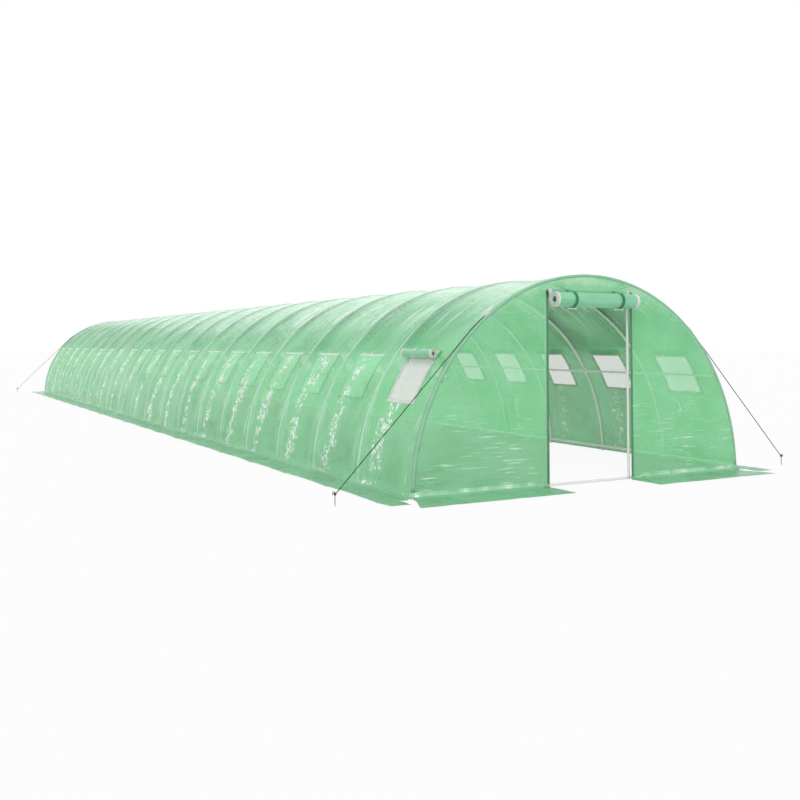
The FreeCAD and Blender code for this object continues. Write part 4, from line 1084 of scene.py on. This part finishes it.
def settle_skirt(vert):
    """Its edge bows out in the middle of each bay, and it ripples on the ground."""
    out = abs(vert.co.x) - RADIUS
    if out <= 0.05:
        return
    side = vert.co.x / abs(vert.co.x)
    waver = noise.noise(Vector((vert.co.y * 1.9, 3.0 * side, 0)))
    t = vert.co.y - math.floor(vert.co.y)
    reach = 0.036 * (1 - abs(2 * t - 1)) ** 0.5 + 0.012 * waver - 0.034
    vert.co.x += math.copysign(smoothstep(0.05, 0.30, out) * reach, vert.co.x)
    ripple = noise.noise(Vector((vert.co.y * 7, vert.co.x * 9, 2.0)))
    vert.co.z = 0.0006 + 0.007 * max(0.0, ripple) * smoothstep(0.07, 0.15, out)


def on_ground(centre):
    return centre.z < 0.030


print("the skirt reaches", round(FOOT_BEND + sum(SKIRT_STEPS), 3), "m out")

# %% [markdown]
# The windows are cut in one bay before it is copied, so that every bay is alike until
# the film is hung. Moving the points last keeps the map even: it is laid while the
# film still lies on the plain arch.


# %% The cover film
ON_ARCH_FROM = 0.059


def make_cover_film():
    bm = bmesh.new()
    line = line_through(bm, [around(FILM_SKIN, FOOT_ANGLE, y) for y in STATIONS])
    foot = edges_in(line)
    for degrees, steps in ARCH:
        line = spin_round(bm, line, degrees, steps)
    draw_skirt(bm, foot, 1)
    draw_skirt(bm, edges_in(line), -1)
    windows = [face for face in bm.faces if in_window(face)]
    bmesh.ops.delete(bm, geom=windows, context="FACES")

    bmesh.ops.translate(bm, verts=bm.verts, vec=(0, 0.5 * BAY - HALF_LENGTH, 0))
    one_bay = all_of(bm)
    for bay in range(1, BAYS):
        copy_of(bm, one_bay, (0, bay * BAY, 0))
    weld(bm, 0.0001)
    for sign in ENDS.values():
        lap_over_end(bm, sign)
    weld(bm, 0.0001)
    turn_faces_out(bm)
    unwrap(bm, film_map)

    on_arch = [vert for vert in bm.verts
               if abs(vert.co.x) < RADIUS and vert.co.z > ON_ARCH_FROM]
    follow_fold([vert for vert in on_arch if abs(vert.co.y) < HALF_LENGTH - 0.001])
    sag_into(on_arch)
    for vert in bm.verts:
        settle_skirt(vert)
    second_finish(bm, on_ground)
    film = new_piece("cover_film", bm, [FILM, SKIRT_FILM], gauge=0.0006)
    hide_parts("cover_left_wall", "cover_left_roof", "cover_right_roof",
                "cover_right_wall", "left_skirt", "right_skirt")


make_cover_film()

# %% [markdown]
# ## The gables
#
# Each gable is a half disc of the same film with a tall doorway cut in it. Its film
# has level creases, and its foot turns outward like the cover's, but tighter beside
# the zips.


# %% How a gable's film lies
GABLE_MIDDLE = HALF_LENGTH + 0.0138
GABLE_SKIRT_STEPS = (0.07, 0.08, 0.09, 0.07)


def gable_creases(x, z):
    """Slack in the gable film, nothing at its seams."""
    to_seam = min(RADIUS - math.hypot(x, z),
                  max(abs(x) - 0.545, z - 1.87), 0.4)
    level = noise.noise(Vector((x * 1.6, z * 7.0, 3.0))) * 0.0030
    level += noise.noise(Vector((x * 3.1 + z, z * 17.0, 8.0))) * 0.0016
    slant = noise.noise(Vector(((x + z) * 5.0, (x - z) * 1.3, 5.0))) * 0.0024
    low = 1.0 - 0.55 * smoothstep(0.7, 1.5, z)
    return (level * low + slant) * smoothstep(0.01, 0.16, to_seam)


def doorway(foot):
    """The outline of the doorway, up one side, over the top and down the other."""
    rise = DOOR_HEIGHT - foot
    up = [(DOOR_HALF, foot + rise * i / 36) for i in range(37)]
    over = [(DOOR_HALF - 2 * DOOR_HALF * i / 24, DOOR_HEIGHT) for i in range(1, 24)]
    down = [(-x, z) for x, z in reversed(up)]
    return [Vector((x, -GABLE_MIDDLE, z)) for x, z in up + over + down]


def settle_gable(vert, foot):
    """Creases the film, bends its foot and lays its skirt on the ground."""
    co = vert.co
    beyond = abs(co.y) - GABLE_MIDDLE
    tight = 0.2 + 0.8 * smoothstep(0.555, 0.70, abs(co.x))
    if co.z < foot + 1e-4:
        # The bend is tight beside the zips, which run down to it.
        near = beyond * tight
        if beyond > FOOT_BEND:
            near = beyond - FOOT_BEND * (1 - tight) * (0.36 - beyond) / 0.30
        co.y -= near - beyond
        co.z *= tight if beyond < FOOT_BEND + 1e-4 else 1.0
        beyond = near
    if beyond < 0.001:
        co.y += gable_creases(co.x, co.z) * smoothstep(0.06, 0.3, co.z)
    flare = 0.139 * smoothstep(0.02, 0.40, beyond)
    share = max(0.0, (abs(co.x) - DOOR_HALF) / (RADIUS - DOOR_HALF))
    co.x += math.copysign(flare * share ** 3, co.x)
    if beyond > 0.05:
        waver = noise.noise(Vector((co.x * 4.0, 11.0, 0.0)))
        co.y += (0.005 * waver - 0.005) * smoothstep(0.1, 0.37, beyond)
        ripple = noise.noise(Vector((co.x * 6, co.y * 9, 6.0)))
        co.z = 0.0016 + 0.006 * max(0.0, ripple) * smoothstep(0.07, 0.15, beyond)


print("a gable's film lies", round(GABLE_MIDDLE - HALF_LENGTH, 4), "m before its hoop")

# %% [markdown]
# A bridge between the arch and the outline of the doorway makes the film, and cuts
# across that bridge give it the points for its creases. A flat face with a hole would
# be simpler, but it has no points in the middle to crease.


# %% A gable and its skirt
def make_gable_film(end):
    bm = bmesh.new()
    start = around(FILM_SKIN, FOOT_ANGLE)
    foot = start.z
    line = [bm.verts.new((start.x, -GABLE_MIDDLE, foot))]
    spin_round(bm, line, 180 - 2 * FOOT_ANGLE, 96)
    seams = bm.edges[:] + edges_in(line_through(bm, doorway(foot)))
    bmesh.ops.bridge_loops(bm, edges=seams)
    known = set(seams)
    spokes = [edge for edge in bm.edges if edge not in known]
    bmesh.ops.subdivide_edges(bm, edges=spokes, cuts=16, use_grid_fill=True)
    weld(bm)

    out = edges_where(bm, lambda co: abs(co.z - foot) < 1e-4)
    centre = (0, -(GABLE_MIDDLE + FOOT_BEND), FOOT_BEND)
    out = edges_in(spin_round(bm, with_verts(out), 90, 5, centre, (-1, 0, 0)))
    for width in GABLE_SKIRT_STEPS:
        out = extrude_by(bm, out, (0, -width, 0))
    turn_faces_out(bm)
    unwrap(bm, lambda point, middle: (
        point.x + 0.5, point.z if middle.z > foot else -(abs(point.y) - GABLE_MIDDLE)))

    for vert in bm.verts:
        settle_gable(vert, foot)
    second_finish(bm, on_ground)
    to_its_end(bm, end)
    film = new_piece(f"{end}_gable_film", bm, [GABLE_FILM, SKIRT_FILM],
                     gauge=0.0006)
    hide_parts(f"{end}_gable_sheet", f"{end}_skirts")


for end in ENDS:
    make_gable_film(end)

# %% [markdown]
# ## Hems over the end hoops
#
# The cover and the gable meet on the end hoop, and a taped hem covers the seam. Its
# section is a small bent strip, spun over the arch. It shows as a thin pale outline.


# %% The arch hems
def make_arch_hem(end):
    bm = bmesh.new()
    face_y = -(GABLE_MIDDLE + 0.0009)
    section = [(RADIUS - 0.026, face_y), (RADIUS - 0.010, face_y - 0.0003),
               (RADIUS - 0.0025, face_y + 0.0002), (RADIUS + 0.0006, face_y + 0.003),
               (RADIUS + 0.0007, face_y + 0.012), (RADIUS + 0.0006, face_y + 0.030)]
    turn = Matrix.Rotation(math.radians(-FOOT_ANGLE), 3, "Y")
    line = line_through(bm, [turn @ Vector((r, y, 0)) for r, y in section])
    spin_round(bm, line, 180 - 2 * FOOT_ANGLE, 120)
    turn_faces_out(bm)
    unwrap(bm, lambda point, centre: (
        math.atan2(point.z, point.x) * RADIUS, point.y + math.hypot(point.x, point.z)))
    to_its_end(bm, end)
    new_piece(f"{end}_arch_hem", bm, [HEM_TAPE], gauge=0.0006)


for end in ENDS:
    make_arch_hem(end)

# %% [markdown]
# ## Rolled sheets
#
# A door or a flap that is rolled up is a spiral: half circles about two centres, each
# a step wider than the one before. In bmesh that is one spin of half a turn for every
# half circle. The side edges of the sheet are bound with thick white tape, so the end
# of a roll looks like a white disc with a hole. The tape is a vertex group that the
# Solidify modifier makes thicker than the rest.


# %% A roll
def spiral(bm, stations, first, step, half_turns, steps):
    """Spins a line of points along X outward from the hole of a roll."""
    line = line_through(bm, [(x, first, 0) for x in stations])
    for index in range(half_turns):
        line = spin_round(bm, line, 180, steps, (0, step * (index % 2), 0), (1, 0, 0))


def roll_map(point, centre):
    """Along the roll, and round it at the distance of this turn."""
    reach = math.hypot(centre.y, centre.z)
    middle = math.atan2(centre.z, centre.y)
    off = math.atan2(point.z, point.y) - middle
    off -= math.tau * round(off / math.tau)
    return point.x, (middle + off) * reach


def soften_roll(bm, straps, dent, outer):
    """Slack rolls bulge unevenly, and a strap pulls them in."""
    for vert in bm.verts:
        reach = math.hypot(vert.co.y, vert.co.z)
        near = min(abs(vert.co.x - strap) for strap in straps)
        pull = dent * math.exp(-(near / 0.035) ** 2) * smoothstep(0.6, 1.0, reach / outer)
        angle = math.atan2(vert.co.z, vert.co.y)
        uneven = noise.noise(Vector((vert.co.x * 4, math.cos(angle), math.sin(angle))))
        shrink = 1 - pull - 0.014 * (uneven + 0.5) * smoothstep(0.55, 1.0, reach / outer)
        vert.co.y *= shrink
        vert.co.z *= shrink


def roll_up(ends, middle, first, step, half_turns, steps, straps, dent, outer, bound):
    """A rolled sheet along X. Its ends beyond bound take the second finish."""
    bm = bmesh.new()
    stations = [-x for x in ends] + middle + list(reversed(ends))
    spiral(bm, stations, first, step, half_turns, steps)
    weld(bm)
    turn_faces_out(bm)
    unwrap(bm, roll_map)
    soften_roll(bm, straps, dent, outer)
    second_finish(bm, lambda centre: abs(centre.x) > bound)
    return bm


def tape_edges(piece, taped, thick, thin):
    """Vertices that pass the test carry the thick tape."""
    group = piece.vertex_groups.new(name="tape")
    rest = piece.vertex_groups.new(name="all")
    chosen = [vert.index for vert in piece.data.vertices if taped(vert.co)]
    group.add(chosen, 1.0, "REPLACE")
    rest.add(range(len(piece.data.vertices)), 1.0, "REPLACE")
    skin = piece.modifiers.new("gauge", "SOLIDIFY")
    skin.thickness = thick
    skin.offset = 0.0
    skin.vertex_group = "tape"
    skin.thickness_vertex_group = thin / thick


print("a turn of a roll is two half circles")

# %% [markdown]
# ## The doors
#
# Each door is one sheet. It hangs from a seam above the doorway, is rolled up at the
# front of the gable, and two green straps with white toggles hold the roll. A short
# stretch of it runs from the seam down to the roll.


# %% The door rolls
DOOR_ROLL = Vector((0, -10.0926, 1.75))
DOOR_WIDTH = 1.016
DOOR_SEAM = 10.01585
STRAPS_AT = (-0.29, 0.29)


def make_door_roll(end):
    bm = roll_up([0.507, 0.495, 0.482, 0.474], [-0.46 + 0.04 * i for i in range(24)],
                 first=0.0348, step=0.0042, half_turns=10, steps=12, straps=STRAPS_AT,
                 dent=0.030, outer=0.0775, bound=0.478)
    bmesh.ops.translate(bm, verts=bm.verts, vec=DOOR_ROLL)
    to_its_end(bm, end)
    roll = new_piece(f"{end}_door_roll_sheet", bm, [DOOR_FILM, WHITE_TAPE],
                     f"{end}_door_roll")
    tape_edges(roll, lambda co: abs(co.x) > 0.480, 0.0062, 0.0012)
    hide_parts(f"{end}_door_roll")


def flat_map(point, centre):
    return point.x, point.z


def make_door_curtain(end):
    """The stretch of door sheet between its seam and the roll."""
    bm = bmesh.new()
    edges = edges_in(line_through(bm, [(-0.508 + DOOR_WIDTH * i / 24, -DOOR_SEAM, 1.8495)
                                       for i in range(25)]))
    for _ in range(11):
        edges = extrude_by(bm, edges, (0, 0, -0.0089))
    turn_faces_out(bm)
    unwrap(bm, flat_map)
    second_finish(bm, lambda centre: abs(centre.x) > 0.46)
    to_its_end(bm, end)
    curtain = new_piece(f"{end}_door_sheet", bm, [DOOR_FILM, WHITE_TAPE],
                        None, gauge=0.0010)
    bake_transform(curtain)
    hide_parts(f"{end}_door_curtain")


for end in ENDS:
    make_door_roll(end)
    make_door_curtain(end)

# %% [markdown]
# A strap leaves its seam, lies round the outside of the roll and ends in a toggle
# below it. The strap is a short line across its width, drawn out straight and then
# spun about the roll, and the toggle is a small turned handle.


# %% The straps and toggles
def strap_round(bm, width, start, radius, stop):
    """A strap from a seam over a roll, in the roll's own axes, Y towards the wall."""
    leave = math.atan2(start.z, start.y) + math.acos(radius / start.length)
    half = width / 2
    across = (-half, -half * 0.86, 0, half * 0.86, half)
    edges = edges_in(line_through(bm, [(x, start.y, start.z) for x in across]))
    to = Vector((0, radius * math.cos(leave), radius * math.sin(leave))) - start
    for _ in range(4):
        edges = extrude_by(bm, edges, to / 4)
    return edges_in(spin_round(bm, with_verts(edges), math.degrees(stop - leave), 20,
                               (0, 0, 0), (1, 0, 0)))


STRAP_WIDTH = 0.025
HANDLE = [(-0.060, 0.0), (-0.060, 0.0036), (-0.0575, 0.0056), (-0.050, 0.0060),
          (-0.014, 0.0058), (-0.011, 0.0044), (-0.006, 0.0040), (0.0, 0.0040)]
HANDLE += [(-x, r) for x, r in reversed(HANDLE[:-1])]
TOGGLE_HEIGHT = 1.6644


def make_door_straps(end):
    bm = bmesh.new()
    for x in STRAPS_AT:
        before = set(bm.verts)
        strap_round(bm, STRAP_WIDTH, Vector((0, 0.0757, 0.096)), 0.0786, math.radians(282))
        bmesh.ops.translate(bm, verts=added_since(bm, before), vec=(x, 0, 0))
    turn_faces_out(bm)
    unwrap(bm, lambda point, centre: (point.x, roll_map(point, centre)[1]))
    bmesh.ops.translate(bm, verts=bm.verts, vec=DOOR_ROLL)
    to_its_end(bm, end)
    straps = new_piece(f"{end}_door_straps", bm, [GREEN_STRAP],
                       gauge=0.0014)
    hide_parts(f"{end}_door_ties")
    return straps


def make_door_toggles(end):
    bm = bmesh.new()
    line = line_through(bm, [(x, 0, r) for x, r in HANDLE])
    bmesh.ops.spin(bm, geom=line, cent=(0, 0, 0), axis=(1, 0, 0), angle=math.tau,
                   steps=16, use_merge=True)
    weld(bm)
    turn_faces_out(bm)
    copy_of(bm, all_of(bm), (2 * STRAPS_AT[1], 0, 0))
    bmesh.ops.translate(bm, verts=bm.verts, vec=(STRAPS_AT[0], DOOR_ROLL.y, TOGGLE_HEIGHT))
    unwrap(bm, flat_map)
    to_its_end(bm, end)
    toggles = new_piece(f"{end}_door_toggle_pair", bm, [TOGGLE])
    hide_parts(f"{end}_door_toggles")
    return toggles


for end, sign in ENDS.items():
    for piece in (make_door_straps(end), make_door_toggles(end)):
        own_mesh(piece)

# %% [markdown]
# ## The windows
#
# Under every window cut-out lies an insect mesh, bound to the film with a white tape.
# The near window of the left wall and all windows of the right wall have their flaps
# rolled up; the other nineteen are closed. All of them are short arc panels that hang
# with the film, so one helper makes them all.


# %% Panels in a row of bays
SEAM_ANGLE = 39.9
FLAP_HALF = 0.265


def bay_middle(bay):
    return (bay + 0.5) * BAY - HALF_LENGTH


def evenly(half_width, count):
    return [half_width * (2 * i / count - 1) for i in range(count + 1)]


def arc_panels(side, bays, stations, low, arcs, lift, opening=None):
    """Arc panels on one wall, off the film by the lift, with an opening in each."""
    bm = bmesh.new()
    for bay in bays:
        before = set(bm.verts)
        y = bay_middle(bay)
        line = line_through(bm, [around(FILM_SKIN, low, y + s) for s in stations])
        for degrees, steps in arcs:
            line = spin_round(bm, line, degrees, steps)
        bmesh.ops.scale(bm, verts=added_since(bm, before), vec=(SIDES[side], 1, 1))
    if opening:
        half, lower, upper = opening
        inside = []
        for face in bm.faces:
            centre = face.calc_center_median()
            off = centre.y - math.floor(centre.y) - 0.5
            if abs(off) < half and lower < degrees_up(centre) < upper:
                inside.append(face)
        bmesh.ops.delete(bm, geom=inside, context="FACES")
    turn_faces_out(bm)
    unwrap(bm, film_map)
    sag_into(bm.verts, lift)
    return bm


def make_screens(side):
    bm = arc_panels(side, range(BAYS), evenly(0.235, 10), 23.6, [(37.6 - 23.6, 12)],
                    -0.0017)
    screens = new_piece(f"{side}_insect_mesh", bm, [SCREEN], gauge=0.0006)
    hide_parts(f"{side}_window_screens")


def make_borders(side):
    """White tape sewn round each cut-out."""
    stations = [-0.243, -0.2315, -0.215, -0.15, -0.08, 0.0,
                0.08, 0.15, 0.215, 0.2315, 0.243]
    bm = arc_panels(side, range(BAYS), stations, 23.4,
                    [(0.4, 1), (0.4, 1), WINDOW, (0.4, 1), (0.4, 1)], 0.0014,
                    opening=(0.214, 24.25, 36.95))
    new_piece(f"{side}_window_tape", bm, [WHITE_TAPE], gauge=0.0006)


for side in SIDES:
    make_screens(side)
    make_borders(side)

# %% [markdown]
# The closed flaps are the same panels, a little larger and one skin further out. They
# are one piece, because they are lifted together.


# %% The closed flaps
RIGHT_BAYS = range(BAYS)
OPEN_LEFT = [0]
CLOSED_LEFT = range(1, BAYS)


def make_closed_flaps():
    bm = arc_panels("left", CLOSED_LEFT, evenly(FLAP_HALF, 18), 23.4, [(38.2 - 23.4, 22)],
                    0.0027)
    second_finish(bm, lambda centre: degrees_up(centre) > 37.5)
    flaps = new_piece("left_closed_flaps", bm, [FLAP_FILM, FLAP_EDGE],
                      "left_window_flaps", gauge=0.0007)
    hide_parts("left_window_flaps")


make_closed_flaps()

# %% [markdown]
# A rolled flap is a smaller spiral than a door. It is made lying along X, like the
# door's, and then turned into its place on the wall with one matrix for each window.

# %% The rolled flaps
WINDOW_ROLL_ANGLE = 37.6
WINDOW_ROLL_REACH = 2.0473


def window_place(side, bay):
    """From the axes of a roll, Y towards the wall, to its place on the wall."""
    to_wall = -around(1.0, WINDOW_ROLL_ANGLE)
    up_wall = around(1.0, WINDOW_ROLL_ANGLE + 90)
    along = to_wall.cross(up_wall)
    turn = Matrix((along, to_wall, up_wall)).transposed().to_4x4()
    place = Matrix.Translation(around(WINDOW_ROLL_REACH, WINDOW_ROLL_ANGLE)) @ turn
    if side == "left":
        place = Matrix.Rotation(math.pi, 4, "Z") @ place
    return Matrix.Translation((0, bay_middle(bay), 0)) @ place


def repeat_on_wall(bm, side, bays):
    """Moves what the mesh holds to each window of a wall."""
    one = all_of(bm)
    for bay in bays:
        copy = bmesh.ops.duplicate(bm, geom=one)["geom"]
        bmesh.ops.transform(bm, matrix=window_place(side, bay), verts=verts_in(copy))
    bmesh.ops.delete(bm, geom=verts_in(one), context="VERTS")


def make_window_rolls(side, bays, node):
    bm = roll_up([0.2645, 0.256, 0.246, 0.240], [-0.225 + 0.05 * i for i in range(10)],
                 first=0.0178, step=0.00475, half_turns=6, steps=9, straps=[0.0],
                 dent=0.05, outer=0.047, bound=0.243)
    repeat_on_wall(bm, side, bays)
    rolls = new_piece(f"{side}_flap_rolls", bm, [DOOR_FILM, WHITE_TAPE], node)
    tape_edges(rolls, lambda co: abs(abs((co.y - math.floor(co.y)) - 0.5)) > 0.245,
               0.0060, 0.0011)
    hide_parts(node)


make_window_rolls("left", OPEN_LEFT, "left_window_roll")
make_window_rolls("right", RIGHT_BAYS, "right_window_rolls")

# %% [markdown]
# The short stretch between a window's seam and its roll starts from an arc panel, and
# is lifted clear of the tape and the slack film that it lies over.


# %% The short stretch between a window's seam and its roll
CURTAIN_LOW = WINDOW_ROLL_ANGLE + 0.02


def lift_clear(vert):
    """Draws a point of the flap out to the hoops' circle, but not at the seam."""
    share = (SEAM_ANGLE - degrees_up(vert.co)) / (SEAM_ANGLE - WINDOW_ROLL_ANGLE)
    radius = math.hypot(vert.co.x, vert.co.z)
    wanted = radius + smoothstep(0.0, 0.35, share) * max(0.0, RADIUS - 0.0015 - radius)
    vert.co.x *= wanted / radius
    vert.co.z *= wanted / radius


def make_window_curtains(side, bays, node):
    bm = arc_panels(side, bays, evenly(FLAP_HALF, 12), CURTAIN_LOW,
                    [(SEAM_ANGLE - CURTAIN_LOW, 7)], 0.0015)
    for vert in bm.verts:
        lift_clear(vert)
    curtains = new_piece(f"{side}_flap_seams", bm, [DOOR_FILM], None,
                         gauge=0.0009)
    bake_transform(curtains)
    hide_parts(node)


make_window_curtains("left", OPEN_LEFT, "left_window_curtain")
make_window_curtains("right", RIGHT_BAYS, "right_window_curtains")

# %% [markdown]
# One white strap holds each rolled flap. Below the roll it is split into two narrow
# tails that hang over the insect mesh. Its ends are found on the wall, seen from the
# axes of the roll, and the strap leaves the roll where it heads for its foot.


# %% The window straps
def on_wall(degrees):
    """A point on the wall at an angle, in the axes of a window's roll."""
    skin = RADIUS + 0.0014
    turn = math.radians(degrees - WINDOW_ROLL_ANGLE)
    return Vector((0, WINDOW_ROLL_REACH - skin * math.cos(turn), skin * math.sin(turn)))


def make_window_straps(side, bays, node):
    bm = bmesh.new()
    radius = 0.0481
    foot = on_wall(27.0)
    stop = math.tau + math.atan2(foot.z, foot.y) - math.acos(radius / foot.length)
    edges = strap_round(bm, STRAP_WIDTH, on_wall(40.3), radius, stop)
    leave = Vector((0, radius * math.cos(stop), radius * math.sin(stop)))
    edges.sort(key=lambda edge: sum(vert.co.x for vert in edge.verts))
    for tail, sign in ((edges[:1], -1), (edges[-1:], 1)):
        step = (foot - leave) / 6
        step.x = sign * 0.0085
        for _ in range(6):
            tail = extrude_by(bm, tail, step)
    turn_faces_out(bm)
    unwrap(bm, flat_map)
    repeat_on_wall(bm, side, bays)
    straps = new_piece(f"{side}_flap_straps", bm, [WHITE_TAPE],
                       gauge=0.0013)
    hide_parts(node)
    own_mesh(straps)


make_window_straps("left", OPEN_LEFT, "left_window_tie")
make_window_straps("right", RIGHT_BAYS, "right_window_ties")

# %% [markdown]
# ## The zips
#
# A zip runs up the gable film on each side of the doorway: a woven tape, a cord down
# its middle and a row of small moulded teeth. The sliders and pulls are rigid and come
# from the frame. A tooth is only a small block, because there are more than a thousand.


# %% The zip tapes and their teeth
ZIP_OFF = 0.524
ZIP_FRONT = -10.0151
ZIP_FROM, ZIP_TO = 0.030, 1.842
TOOTH_PITCH = 0.003
TEETH = 603


def add_block(bm, size, place):
    verts = bmesh.ops.create_cube(bm, size=1.0)["verts"]
    bmesh.ops.scale(bm, verts=verts, vec=size)
    bmesh.ops.translate(bm, verts=verts, vec=place)
    return verts


def make_zip_tapes(end):
    bm = bmesh.new()
    tall, middle = ZIP_TO - ZIP_FROM, (ZIP_TO + ZIP_FROM) / 2
    for sign in (-1, 1):
        x = sign * ZIP_OFF
        add_block(bm, (0.026, 0.0011, tall), (x, ZIP_FRONT - 0.0006, middle))
        add_block(bm, (0.002, 0.0018, tall), (x, ZIP_FRONT - 0.0020, middle))
        tooth = add_block(bm, (0.0048, 0.0023, 0.0021), (x, ZIP_FRONT - 0.0041, 0.0325))
        faces = list({face for vert in tooth for face in vert.link_faces})
        block = tooth + list({edge for vert in tooth for edge in vert.link_edges}) + faces
        for index in range(1, TEETH):
            copy_of(bm, block, (0, 0, TOOTH_PITCH * index))
    second_finish(bm, lambda centre: centre.y < ZIP_FRONT - 0.00295)
    unwrap(bm, slanted_map)
    to_its_end(bm, end)
    tapes = new_piece(f"{end}_zips", bm, [ZIP_TAPE, ZIP_TEETH], smooth=False)
    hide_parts(f"{end}_zip_tapes")


for end in ENDS:
    make_zip_tapes(end)

# %% [markdown]
# ## Floor and light
#
# A pale floor carries the skirts. Seen directly, it and the sky are white. Seen through
# the film they are darker, because inside a real tunnel the light is dim. A picture of
# a sky could light the film too, but an even sky and two suns light it at a plain
# level, where a colour comes out about as it is written.


# %% Floor and sky
WHITE = (1, 1, 1, 1)
DUSK = (0.16, 0.20, 0.17, 1)


def first_look(tree, rays):
    """Whether the camera sees a point directly, and whether through the film."""
    camera = rays.outputs["Is Camera Ray"]
    near = math_node(tree, "LESS_THAN", rays.outputs["Transparent Depth"], 0.5)
    direct = product(tree, camera, near)
    return direct, math_node(tree, "SUBTRACT", camera, direct)


def glow_over(tree, share, under, colour):
    glow = add_node(tree, "ShaderNodeEmission", {"Color": colour, "Strength": 1.0})
    both = add_node(tree, "ShaderNodeMixShader", {0: share, 1: under,
                                                  2: glow.outputs["Emission"]})
    return both.outputs["Shader"]


def make_floor():
    bm = bmesh.new()
    bmesh.ops.create_grid(bm, x_segments=1, y_segments=1, size=150)
    bmesh.ops.translate(bm, verts=bm.verts, vec=(0, 0, -0.0012))
    mesh = bpy.data.meshes.new("floor")
    bm.to_mesh(mesh)
    bm.free()
    floor = bpy.data.objects.new("floor", mesh)
    bpy.context.collection.objects.link(floor)
    material, tree, shader = new_material("pale floor", Roughness=0.9,
                                          Specular_IOR_Level=0.1)
    shader.inputs["Base Color"].default_value = (0.86, 0.87, 0.86, 1)
    rays = add_node(tree, "ShaderNodeLightPath")
    direct, through = first_look(tree, rays)
    seen = product(tree, highest(tree, direct, rays.outputs["Is Glossy Ray"]), 0.9)
    lit = glow_over(tree, seen, shader.outputs["BSDF"], WHITE)
    lit = glow_over(tree, product(tree, through, 0.7), lit, DUSK)
    feed(tree, tree.nodes["Material Output"].inputs["Surface"], lit)
    mesh.materials.append(material)


def make_sky():
    world = bpy.data.worlds.new("sky")
    bpy.context.scene.world = world
    world.use_nodes = True
    tree = world.node_tree
    rays = add_node(tree, "ShaderNodeLightPath")
    direct, through = first_look(tree, rays)
    bright = highest(tree, rays.outputs["Is Glossy Ray"],
                     rays.outputs["Is Transmission Ray"], direct)
    level = ranged(tree, bright, 0.0, 1.0, 0.65, 1.0)
    strength = math_node(tree, "MULTIPLY_ADD", through, -0.47, level)
    background = tree.nodes["Background"]
    feed(tree, background.inputs["Strength"], strength)
    feed(tree, background.inputs["Color"], WHITE)


make_floor()
make_sky()
print("floor and sky are white when seen directly")

# %% [markdown]
# A broad key stands high to the front left, and a faint rim low behind the tunnel. A
# sun with a wide spread gives soft edges, as on a bright hazy day. Each is told by the
# direction towards it.


# %% Two suns
def add_sun(name, towards, strength, spread):
    data = bpy.data.lights.new(name, "SUN")
    data.energy = strength
    data.angle = math.radians(spread)
    lamp = bpy.data.objects.new(name, data)
    lamp.rotation_euler = Vector(towards).to_track_quat("Z", "Y").to_euler()
    bpy.context.collection.objects.link(lamp)


add_sun("key", (-0.35, -0.60, 0.72), 1.1, 30)
add_sun("rim", (0.34, 0.87, 0.36), 0.17, 32)
bpy.context.scene.view_settings.view_transform = "Standard"
print("suns:", [lamp.name for lamp in bpy.data.lights])
